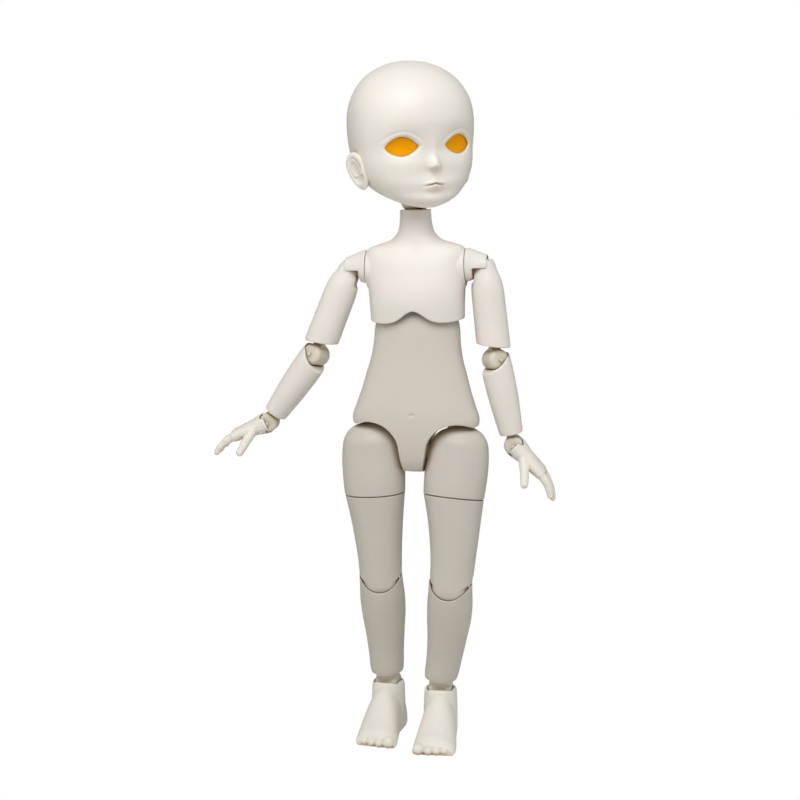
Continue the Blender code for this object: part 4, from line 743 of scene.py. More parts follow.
def build_torso():
    hips = (place_of("hip_swing_left") + place_of("hip_swing_right")) / 2
    pelvis = basis(hips, x=axis_of("hip_swing_left", -1), y=axis_of("waist_tilt"))

    def navel(x, z):
        rim = bump(x, z, 0, NAVEL_RISE, 0.0019, 0.0014, 0.0004)
        pit = bump(x, z, 0, NAVEL_RISE - 0.0002, 0.0011, 0.0007, 0.0011)
        soft = bump(x, z, 0, NAVEL_RISE * 0.7, 0.010, 0.012, 0.0006)
        return rim - pit + soft

    table = table_in_metres(BELLY_SHARES, WAIST_RISE + BELLY_CROWN, HIP_WIDTH, TORSO_DEPTH)
    belly = loft("belly_skin", table, rows=ROWS * 2, sides=SIDES * 2,
        shape=lambda rings: front_relief(rings, navel))
    boss = rod("boss", -HIP_BOSS_REACH, HIP_BOSS_REACH, HIP_BOSS_RADIUS, "X")
    belly_cuts = [leg_opening(side) for side in (-1, 1)]
    shaped = finish_piece(belly, np.eye(4), "pelvis", IVORY, cutters=belly_cuts, voxel=0, ease=0)
    finish_piece(shaped, pelvis, "pelvis", BELLY_PAINTED_SHADE, "belly", joined=[boss], voxel=VOXEL, ease=5)

    chest_frame = basis(place_of("waist_turn"), x=axis_of("waist_bend"), z=axis_of("waist_turn"))

    def throat(x, z):
        pit = bump(x, z, 0, THROAT_RISE, 0.0022, 0.0020, 0.0006)
        bones = sum(bump(x, z, side * 0.0075, THROAT_RISE - 0.0006, 0.0062, 0.0013,
            0.0004) for side in (-1, 1))
        return bones - pit

    table = table_in_metres(CHEST_SHARES, CHEST_RISE, CHEST_WIDTH, CHEST_DEPTH)
    chest = loft("chest_skin", table, rows=ROWS * 2, sides=SIDES * 2,
        shape=lambda rings: front_relief(rings, throat))
    hollow_rows = [row for row in CHEST_SHARES if row[0] * CHEST_RISE < CHEST_HOLLOW_RISE]
    inner = table_in_metres([(hollow_rows[0][0] * 2, *hollow_rows[0][1:]), *hollow_rows], CHEST_RISE,
        CHEST_WIDTH, CHEST_DEPTH)
    rings = [ring(wide - CHEST_WALL, front - CHEST_WALL, back - CHEST_WALL, height, 0, squareness)
             for height, wide, front, back, centre_y, squareness in inner]
    for rise_share, size_share in ((0.86, 0.93), (1.0, 0.78)):
        rings.append(ring(
            size_share * (CHEST_WIDTH / 2 - CHEST_WALL), size_share * (CHEST_DEPTH / 2 - CHEST_WALL),
            size_share * (TORSO_DEPTH / 2 - CHEST_WALL), rise_share * CHEST_HOLLOW_RISE, 0, 2.4))
    hollow = skin("chest_hollow", rings)
    bottom = CHEST_SHARES[0][0] * CHEST_RISE
    steps = 60
    wave = []
    for i in range(steps + 1):
        x = CHEST_WIDTH / 2 * 1.1 * (2 * i / steps - 1)
        lift = RIM_PEAK * np.exp(-((x / RIM_PEAK_SPREAD) ** 2)) + RIM_SIDE_LIFT * (2 * x / CHEST_WIDTH) ** 6
        wave.append((x, bottom + RUNNING_GAP + lift))
    wave += [(CHEST_WIDTH, bottom + RUNNING_GAP), (CHEST_WIDTH, bottom - OVERRUN),
             (-CHEST_WIDTH, bottom - OVERRUN), (-CHEST_WIDTH, bottom + RUNNING_GAP)]
    rim = prism("rim_wave", wave, -CHEST_DEPTH, 0)
    back_wave = [(x, min(z, bottom + RUNNING_GAP + RIM_SIDE_LIFT * (2 * x / CHEST_WIDTH) ** 6)) for x,
        z in wave]
    back_rim = prism("back_rim_wave", back_wave, -OVERRUN / 2, CHEST_DEPTH)
    bosses = []
    for side in (-1, 1):
        shoulder = np.linalg.inv(chest_frame) @ np.array([*place_of("shoulder_raise_left" if side > 0 else "shoulder_raise_right"), 1])
        face = CHEST_WIDTH / 2 - CLEARANCE / 6
        profile = [(side * (face - depth * SHOULDER_BOSS_DEPTH), SHOULDER_CAP_RADIUS * wide)
                   for depth, wide in ((1, 0.60), (0.75, 0.93), (0.35, 0.99), (0.08, 0.96), (0, 0.95))]
        bosses.append(turned(f"shoulder_boss_{side}", profile, "X", (0, shoulder[1], shoulder[2])))
    cup = ball("neck_cup", NECK_BALL_RADIUS + CLEARANCE, (0, NECK_SET_BACK, NECK_RISE))
    finish_piece(chest, chest_frame, "torso", IVORY, "chest", bosses, [hollow, rim, back_rim, cup], VOXEL, 7)
    return pelvis, chest_frame


# Head

def almond_curve(steps=72):
    """The eye opening's outline as a smooth closed curve through its chosen points."""
    points = np.array(ALMOND_SHARES)
    count = len(points)
    at = np.arange(steps) * count / steps
    i = at.astype(int)
    t = (at - i)[:, None]
    p0, p1, p2, p3 = (points[(i + k) % count] for k in (-1, 0, 1, 2))
    return 0.5 * (2 * p1 + (p2 - p0) * t + (2 * p0 - 5 * p1 + 4 * p2 - p3) * t ** 2 + (3 * p1 - p0 - 3 * p2 + p3) * t ** 3)


ALMOND = almond_curve()
ALMOND_ANGLES = np.arctan2(ALMOND[:, 1], ALMOND[:, 0])
ALMOND_RADII = np.hypot(ALMOND[:, 0], ALMOND[:, 1])
ALMOND_ORDER = np.argsort(ALMOND_ANGLES)


def past_almond(x, z, side):
    """How far outside the eye opening's outline a place lies, in metres, negative inside."""
    u = side * (x - side * EYE_SPACING / 2) / (EYE_OPENING_WIDTH / 2)
    v = (z - EYE_RISE) / (EYE_OPENING_HEIGHT / 2)
    edge = np.interp(np.arctan2(v, u), ALMOND_ANGLES[ALMOND_ORDER], ALMOND_RADII[ALMOND_ORDER], period=2 * pi)
    return (np.hypot(u, v) / edge - 1) * (EYE_OPENING_WIDTH + EYE_OPENING_HEIGHT) / 4


def broad_relief(x, z):
    """The face's main forms, as the CAD solid has them: nose, lips, sockets and cheeks."""
    unit = HEAD_HEIGHT
    relief = bump(x, z, 0, NOSE_RISE + unit * 0.08, unit * 0.028, unit * 0.09, unit * 0.012)
    for side in (-1, 1):
        relief -= bump(x, z, side * EYE_SPACING / 2, EYE_RISE + unit * 0.01, unit * 0.115, unit * 0.085,
            unit * 0.036)
        relief += bump(x, z, side * unit * 0.26, NOSE_RISE - unit * 0.05, unit * 0.15, unit * 0.13,
            unit * 0.018)
    return relief


def face_relief(x, z):
    """The face's forms with its small ones: nostrils, cupid's bow, lid folds and rolled lid rims."""
    relief = broad_relief(x, z)
    below = z < NOSE_RISE
    tall = np.where(below, 0.0013, 0.0032)
    relief += 0.0025 * np.exp(-((x / 0.0025) ** 2) - ((z - NOSE_RISE) / tall) ** 2)
    relief += sum(bump(x, z, side * 0.0017, NOSE_RISE - 0.0006, 0.0010, 0.0009, 0.0009) for side in (-1, 1))
    relief -= sum(bump(x, z, side * 0.0009, NOSE_RISE - 0.0016, 0.0006, 0.0005, 0.0006) for side in (-1, 1))
    relief += bump(x, z, 0, MOUTH_RISE + 0.0002, 0.0050, 0.0036, 0.0011)
    line = MOUTH_RISE + 0.0002 - 0.0006 * np.abs(x / 0.0044) ** 1.6 + 0.0003 * np.exp(-((x / 0.0008) ** 2))
    upper = 0.0009 * np.exp(-((x / 0.0038) ** 2) - ((z - line - 0.0007) / 0.0008) ** 2)
    lower = 0.0011 * np.exp(-((x / 0.0032) ** 2) - ((z - line + 0.0011) / 0.0010) ** 2)
    groove = 0.0011 * np.exp(-((x / 0.0043) ** 4) - ((z - line) / 0.00034) ** 2)
    relief += upper + lower - groove
    relief -= bump(x, z, 0, MOUTH_RISE - 0.0034, 0.0030, 0.0012, 0.0006)
    relief += bump(x, z, 0, MOUTH_RISE - 0.0066, 0.0046, 0.0030, 0.0007)
    relief -= bump(x, z, 0, MOUTH_RISE + 0.0040, 0.0008, 0.0022, 0.0002)
    for side in (-1, 1):
        past = past_almond(x, z, side)
        above = np.clip((z - EYE_RISE) / (EYE_OPENING_HEIGHT / 2), 0, 1)
        lid = 0.0003 * np.exp(-((past - 0.0011) / 0.0009) ** 2) * (0.35 + 0.65 * above)
        fold = 0.0002 * np.exp(-((past - 0.0026) / 0.0005) ** 2) * above
        rim = 0.0008 * np.exp(-np.clip(past, 0, None) / 0.00035)
        relief += np.where(past > -0.002, lid - fold - rim, -rim)
    return relief


def head_rings(inset, relief, columns, rows):
    """The head's rings in its own frame, closer together at the front, where the face is."""
    table = np.array(HEAD_SHARES, float)
    metres = np.stack([
        table[:, 0] * (HEAD_HEIGHT - 2 * inset) + inset,
        np.maximum(table[:, 1] * HEAD_WIDTH / 2 - inset, table[:, 1] * HEAD_WIDTH / 8),
        np.maximum(table[:, 2] * HEAD_DEPTH / 2 - inset, table[:, 2] * HEAD_DEPTH / 8),
        np.maximum(table[:, 3] * HEAD_DEPTH / 2 - inset, table[:, 3] * HEAD_DEPTH / 8),
        table[:, 4] * HEAD_DEPTH / 2,
        table[:, 5],
    ], 1)
    fine = fine_rows(metres, rows)
    u = np.linspace(0, 2 * pi, columns, endpoint=False)
    angle = u - 0.45 * np.sin(u - 3 * pi / 2)
    c, s = np.cos(angle)[None, :], np.sin(angle)[None, :]
    height, wide, front, back, centre, square = (fine[:, i][:, None] for i in range(6))
    x = wide * np.abs(c) ** (2 / square) * np.sign(c)
    y = np.where(s > 0, back, front) * np.abs(s) ** (2 / square) * np.sign(s)
    z = np.broadcast_to(height, x.shape)
    share = np.clip(-y / front, 0, 1)
    y = y - relief(x, z) * np.minimum(1, share * 1.6) + centre + HEAD_SET_BACK
    return np.stack([x, y, z - CHIN_DROP], -1)


def eye_front(side):
    """The part of an eye that stands in its opening: the almond's outline drawn in ring by
    ring, each point as far back as the face's skin there plus a depth that is least midway."""
    skin_points = head_rings(0, broad_relief, 361, 220).reshape(-1, 3)
    skin_points = skin_points[skin_points[:, 1] < 0]
    rings = []
    for share, depth in ((0.03, EYE_INSET * 0.55), (0.3, EYE_INSET * 0.60), (0.6, EYE_INSET * 0.74),
                         (0.85, EYE_INSET * 0.92), (0.965, EYE_INSET * 1.06), (0.965, HEAD_WALL * 1.25)):
        x = side * (EYE_SPACING / 2 + share * ALMOND[:, 0] * EYE_OPENING_WIDTH / 2)
        z = EYE_RISE - CHIN_DROP + share * ALMOND[:, 1] * EYE_OPENING_HEIGHT / 2
        apart = np.hypot(skin_points[:, 0] - x[:, None], skin_points[:, 2] - z[:, None])
        near = np.argsort(apart, axis=1)[:, :6]
        weight = 1 / (np.take_along_axis(apart, near, 1) + 0.0001)
        y = (skin_points[near, 1] * weight).sum(1) / weight.sum(1)
        rings.append(np.stack([x, y + depth, z], 1))
    return skin(f"eye_front_{side}", rings)


def ear_solid(side):
    """An ear: a flat oval with a rolled rim, a hollow inside it and a small front flap."""
    steps, sides = 56, 64
    rings = []
    for i in range(1, steps):
        turn = pi * i / steps
        swell = sin(turn) * (1.0 + 0.18 * cos(turn))
        points = ring(EAR_THICKNESS / 2 * swell, EAR_LENGTH / 2 * swell, EAR_LENGTH / 2 * swell,
                      cos(turn) * EAR_HEIGHT / 2, sides=sides)
        rings.append(points)
    rings = np.array(rings)
    y = rings[..., 1] / (EAR_LENGTH / 2)
    z = rings[..., 2] / (EAR_HEIGHT / 2)
    outward = np.clip(side * rings[..., 0] / (EAR_THICKNESS / 2), 0, 1)
    radius = np.hypot(y / 0.72, (z - 0.05) / 0.80)
    bowl = 0.0019 / (1 + np.exp((radius - 0.86) / 0.07))
    ridge = 0.0008 * np.exp(-((np.hypot((y - 0.05) / 0.52,
        (z - 0.12) / 0.58) - 0.80) / 0.16) ** 2) * (z > -0.25)
    flap = 0.0010 * np.exp(-((y + 0.62) / 0.22) ** 2 - ((z + 0.15) / 0.22) ** 2)
    rings[..., 0] -= side * outward * (bowl - ridge - flap)
    place = Matrix.Translation((side * HEAD_WIDTH * 0.472,
        EAR_SET_BACK + HEAD_SET_BACK - EAR_LENGTH / 2, EAR_RISE - CHIN_DROP))
    lean = Euler((radians(-14), side * radians(10), side * radians(-24))).to_matrix().to_4x4()
    matrix = np.array(place @ lean)
    points = rings @ matrix[:3, :3].T + matrix[:3, 3]
    return skin(f"ear_{side}", points)


def build_head():
    nod = basis(place_of("neck_turn"), x=axis_of("neck_nod"), z=axis_of("neck_turn"))
    head = nod @ turn_about("Y", HEAD_TILT)
    seam = CAP_SEAM_SET_BACK + HEAD_SET_BACK
    far = HEAD_HEIGHT * 2

    face = skin("face_skin", head_rings(0, face_relief, HEAD_COLUMNS, HEAD_ROWS))
    ears = [ear_solid(side) for side in (-1, 1)]
    hollow = skin("face_hollow", head_rings(HEAD_WALL, broad_relief, 96, 70))
    socket = ball("head_socket", NECK_BALL_RADIUS + CLEARANCE)
    mouth = rod("head_mouth", -NECK_BALL_RADIUS * 2, -CLEARANCE, NECK_BALL_RADIUS + RUNNING_GAP * 2,
        sides=ROUND_SIDES - 2)
    back = slab("face_back", (-HEAD_WIDTH, seam, -far), (HEAD_WIDTH, HEAD_DEPTH, far))
    windows = []
    for side in (-1, 1):
        outline = [(side * (EYE_SPACING / 2 + u * EYE_OPENING_WIDTH / 2),
            EYE_RISE - CHIN_DROP + v * EYE_OPENING_HEIGHT / 2)
                   for u, v in ALMOND]
        windows.append(prism(f"eye_window_{side}", outline, -HEAD_DEPTH, -HEAD_DEPTH / 6))
    finish_piece(face, head, "head", FACE_LIGHT_AND_SHADE, "face_shell", joined=ears,
        cutters=[hollow, back, socket, mouth, *windows],
                 voxel=0, ease=0)

    cap = skin("cap_skin", head_rings(0, broad_relief, 160, 120))
    cap_hollow = skin("cap_hollow", head_rings(HEAD_WALL, broad_relief, 96, 70))
    front = slab("cap_front", (-HEAD_WIDTH, -HEAD_DEPTH, -far), (HEAD_WIDTH, seam + CLEARANCE, far))
    finish_piece(cap, head, "head_back", FACE_LIGHT_AND_SHADE, "head_cap", cutters=[cap_hollow, front], voxel=0, ease=0)

    half_angle = asin(EYE_DIAMETER / 2 / EYE_BALL_RADIUS)
    rise = EYE_BALL_RADIUS - sqrt(EYE_BALL_RADIUS ** 2 - (EYE_DIAMETER / 2) ** 2)
    for side, word in ((1, "left"), (-1, "right")):
        low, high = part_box(f"eye_{word}")
        middle = np.linalg.inv(head) @ np.array([*((low + high) / 2), 1])
        depth = rise + HEAD_WALL / 3
        profile = [(EYE_BALL_RADIUS * (1 - cos(a)), EYE_BALL_RADIUS * sin(a)) for a in np.linspace(0.02,
            half_angle, 24)]
        profile.append((depth, EYE_DIAMETER / 2))
        eye = turned(f"eye_ball_{word}", profile, "Y", (middle[0], middle[1] - depth / 2, middle[2]))
        finish_piece(eye, head, "head", AMBER, f"eye_{word}", [eye_front(side)], voxel=0, ease=0)


# Arms

def digit_rings(start, heading, length, radius, curl, steps=26, sides=24):
    """Rings along a finger that curls towards the palm, with soft joints and a round tip."""
    place = np.array(start, float)
    direction = np.array(heading, float)
    direction /= np.linalg.norm(direction)
    across = np.cross(direction, (0, 1, 0))
    across /= np.linalg.norm(across)
    angle = np.linspace(0, 2 * pi, sides, endpoint=False)
    rings = []
    for i in range(steps + 1):
        part = i / steps
        tip = sqrt(max(0.0, 1 - max(0.0, (part - 0.86) / 0.14) ** 2)) if part > 0.86 else 1.0
        joint = 1 + 0.045 * np.exp(-((part - 0.30) / 0.07) ** 2) + 0.05 * np.exp(-((part - 0.64) / 0.06) ** 2)
        size = radius * (1.04 - 0.30 * part) * max(tip, 0.06) * joint
        normal = np.cross(direction, across)
        rings.append(place + (across * np.cos(angle)[:, None] + normal * np.sin(angle)[:, None]) * size)
        place = place + direction * (length / steps)
        turn = np.array(Matrix.Rotation(radians(curl / steps), 3, Vector(across)))
        direction = turn @ direction
    return rings


def build_hand(word, side, place):
    palm = loft(f"hand_skin_{word}",
        table_in_metres(PALM_SHARES, -HAND_LENGTH, PALM_WIDTH, PALM_THICKNESS), rows=40, sides=64)
    joined = []
    for i, (across, reach, size) in enumerate(FINGER_SHARES):
        start = (side * across * PALM_WIDTH / 2 * 0.95, 0, -HAND_LENGTH * 0.55)
        heading = (side * across * 0.05, 0, -1)
        joined.append(skin(f"finger_{i}",
            digit_rings(start, heading, HAND_LENGTH * reach, FINGER_RADIUS * size, -44)))
    start = (side * PALM_WIDTH / 2 * 0.62, -PALM_THICKNESS * 0.10, -HAND_LENGTH * 0.24)
    heading = (side * 0.62, -0.50, -0.72)
    joined.append(skin("thumb", digit_rings(start, heading, HAND_LENGTH * 0.44, THUMB_RADIUS, -10)))
    far = PALM_WIDTH
    low = -WRIST_RADIUS * 0.05
    cutters = [
        barrel("wrist_cup", WRIST_RADIUS + RUNNING_GAP, WRIST_WIDTH + RUNNING_GAP * 2),
        prism("wrist_mouth", ((-far, low), (far, low), (far, far), (-far, far)), -far, far, "X"),
    ]
    finish_piece(palm, place, f"hand_{word}", PAINTED_LIGHT_PALE, f"hand_{word}", joined, cutters, FINE_VOXEL, 7)


def knuckle(name, radius, width, neck_half, neck_width):
    """A barrel across X with a neck up to the piece above."""
    made = barrel(name, radius, width)
    neck = slab(name + "_neck", (-neck_width / 2, -neck_half, 0),
        (neck_width / 2, neck_half, radius + CLEARANCE))
    shaft = rod(name + "_shaft", radius / 2, radius * 2.2, neck_half)
    return made, [neck, shaft]


def shoulder_skin(name, rows, side, reach, start):
    """Ovals carried along X from the chest outwards: each row gives the place as a share of the
    reach, then the shares of the radius upwards, to the front and back, and downwards."""
    angle = np.linspace(0, 2 * pi, ROUND_SIDES, endpoint=False)
    rings = []
    for along, up, across, down in rows:
        tall = SHOULDER_CAP_RADIUS * np.where(np.sin(angle) > 0, up, down)
        x = np.full(ROUND_SIDES, side * (along * reach - start))
        rings.append(np.stack([x, SHOULDER_CAP_RADIUS * across * np.cos(angle), tall * np.sin(angle)], 1))
    return skin(name, rings)


def build_arm(word, side):
    shoulder = place_of(f"shoulder_raise_{word}")
    swing = basis(shoulder, x=axis_of(f"shoulder_swing_{word}", -1),
        y=axis_of(f"shoulder_raise_{word}", -side))
    lift = basis(shoulder, y=axis_of(f"shoulder_raise_{word}", -side), z=axis_of(f"elbow_turn_{word}", side))
    elbow_place = place_of(f"elbow_bend_{word}")
    twist = basis(elbow_place, x=axis_of(f"elbow_bend_{word}", -1), z=axis_of(f"elbow_turn_{word}", side))
    bend = basis(elbow_place, x=axis_of(f"elbow_bend_{word}", -1), z=axis_of(f"wrist_turn_{word}", side))
    wrist_place = place_of(f"wrist_bend_{word}")
    wrist = basis(wrist_place, x=axis_of(f"wrist_bend_{word}", -1), z=axis_of(f"wrist_turn_{word}", side))
    hand = wrist @ turn_about("X", HAND_BENDS[word])

    # Shoulder peg: a flange beside the chest and a half-round cap that grows out of it
    shaft_end = SHOULDER_SPACING / 2 - CHEST_WIDTH / 2 - CLEARANCE
    reach = shaft_end + SHOULDER_CAP_REACH
    web_face = shaft_end - SHOULDER_WEB_THICKNESS
    cap_rows = fine_rows(((0, 0.95, 0.92, 0.70), (0.13, 0.945, 0.86, 0.68), (0.30, 0.89, 0.76, 0.62),
        (0.42, 0.84, 0.72, 0.58),
                          (0.62, 0.75, 0.66, 0.55), (0.85, 0.655, 0.62, 0.55), (1, 0.60, 0.60, 0.55)), 40)
    cap = shoulder_skin(f"shoulder_cap_{word}", cap_rows, side, reach, shaft_end + CLEARANCE * 0.6)
    ends = sorted((-side * web_face, side * (SHOULDER_CAP_REACH + OVERRUN)))
    bore = rod("shoulder_cap_bore", *ends, SHOULDER_CAP_BORE_RADIUS, "X")
    far = SHOULDER_CAP_RADIUS * 2
    inner, outer = sorted((-side * web_face, side * far))
    under = slab("shoulder_cap_under", (inner, -far, -far), (outer, far, -CLEARANCE))
    shaped = finish_piece(cap, np.eye(4), f"shoulder_{word}", IVORY, cutters=[bore, under], voxel=0, ease=0)
    tongue_half = SHOULDER_KNUCKLE_RADIUS * 0.7
    ends = sorted((-side * shaft_end, 0.0))
    tongue = slab("tongue", (ends[0], -SHOULDER_TONGUE / 2, -tongue_half),
        (ends[1], SHOULDER_TONGUE / 2, tongue_half))
    disc = rod("disc", -SHOULDER_TONGUE / 2, SHOULDER_TONGUE / 2, SHOULDER_KNUCKLE_RADIUS, "Y")
    finish_piece(shaped, swing, f"shoulder_{word}", IVORY, f"shoulder_peg_{word}", [tongue, disc], (),
        FINE_VOXEL, 4)

    # Upper arm
    rows = [(SHOULDER_BALL_RADIUS * cos(a), *[SHOULDER_BALL_RADIUS * sin(a)] * 3, 0,
        2) for a in np.radians((4, 15, 30, 50, 72))]
    rows += table_in_metres(UPPER_ARM_SHARES, -UPPER_ARM_LENGTH, UPPER_ARM_WIDTH, UPPER_ARM_WIDTH)
    upper = loft(f"upper_arm_skin_{word}", rows)
    slot_half = SHOULDER_TONGUE / 2 + CLEARANCE
    sweep = swept_bar(UPPER_ARM_WIDTH, 180 if side > 0 else 0, 90, tongue_half + RUNNING_GAP)
    cutters = [
        prism("shoulder_slot", sweep, -slot_half, slot_half),
        rod("shoulder_pocket", -slot_half, slot_half, SHOULDER_KNUCKLE_RADIUS + RUNNING_GAP, "Y"),
        rod("web_room", *sorted((-side * (web_face - CLEARANCE / 2), -side * UPPER_ARM_WIDTH)),
        SHOULDER_WEB_RADIUS, "X"),
    ]
    low = -UPPER_ARM_SHARES[-1][0] * UPPER_ARM_LENGTH
    far = UPPER_ARM_WIDTH
    rise = far * ARM_END_SLOPE_SHARE
    end = ((side * far, low - rise / 2), (-side * far, low + rise * 1.5), (-side * far, low - far),
        (side * far, low - far))
    cutters.append(prism("upper_arm_end", end, -far, far))
    inner_fill = ball("inner_fill", SHOULDER_CAP_BORE_RADIUS * 1.12,
        (-side * SHOULDER_BALL_RADIUS * 0.18, 0, -SHOULDER_BALL_RADIUS))
    finish_piece(upper, lift, f"upper_arm_{word}", IVORY, f"upper_arm_{word}", [inner_fill], cutters)

    # Elbow and forearm
    joint, joined = knuckle(f"elbow_skin_{word}", ELBOW_RADIUS, ELBOW_WIDTH, ARM_SHAFT_RADIUS,
        ARM_SHAFT_RADIUS * 2)
    finish_piece(joint, twist, f"elbow_{word}", JOINT, f"elbow_joint_{word}", joined, (), FINE_VOXEL, 3)
    forearm = loft(f"forearm_skin_{word}",
        table_in_metres(FOREARM_SHARES, -FOREARM_LENGTH, FOREARM_WIDTH, FOREARM_WIDTH))
    far = FOREARM_WIDTH
    scoop = ((-far, ELBOW_RADIUS * -1.7), (0, ELBOW_RADIUS * -0.45),
        (FOREARM_WIDTH * 0.36, ELBOW_RADIUS * 0.36),
             (FOREARM_WIDTH * 0.5, ELBOW_RADIUS * 0.42), (far, ELBOW_RADIUS * 0.42), (far, far), (-far, far))
    cutters = [
        prism("elbow_scoop", scoop, -far, far, "X"),
        barrel("elbow_cup", ELBOW_RADIUS + RUNNING_GAP, ELBOW_WIDTH + RUNNING_GAP * 2),
    ]
    finish_piece(forearm, bend, f"forearm_{word}", IVORY, f"forearm_{word}", (), cutters)

    # Wrist and hand
    joint, joined = knuckle(f"wrist_skin_{word}", WRIST_RADIUS, WRIST_WIDTH, ARM_SHAFT_RADIUS,
        ARM_SHAFT_RADIUS * 2)
    finish_piece(joint, wrist, f"wrist_{word}", JOINT, f"wrist_ball_{word}", joined, (), FINE_VOXEL, 3)
    build_hand(word, side, hand)


# Legs

def bowed(rings, low, high, offset):
    """Moves rings sideways, smoothly: not at all at one height and by the offset at the other."""
    share = np.clip((rings[..., 2] - low) / (high - low), 0, 1)
    rings[..., 0] += offset * share * (2 - share)
    return rings


def knee_line(far, gap, steps=48):
    """The line between thigh and shin seen from the front: a parabola that levels off outside."""
    points = []
    for i in range(steps + 1):
        x = KNEE_WIDTH * (i / steps - 0.5) * 1.2
        points.append((x, gap - KNEE_LINE_DROP + KNEE_LINE_RISE * min(1.15, (2 * x / KNEE_WIDTH) ** 2)))
    return [(-far, points[0][1]), *points, (far, points[-1][1])]


def knee_knob(name, gap, centre):
    """The knee's round end: a barrel across X whose radius falls to its ends as a superellipse."""
    half = KNEE_KNOB_WIDTH / 2 + gap
    power = KNEE_KNOB_SQUARENESS
    shares = np.sin(np.linspace(-pi / 2, pi / 2, 41)[1:-1])
    profile = [(half * share,
        (KNEE_RADIUS + gap) * (1 - abs(share) ** power) ** (1 / power)) for share in shares]
    return turned(name, profile, "X", centre)


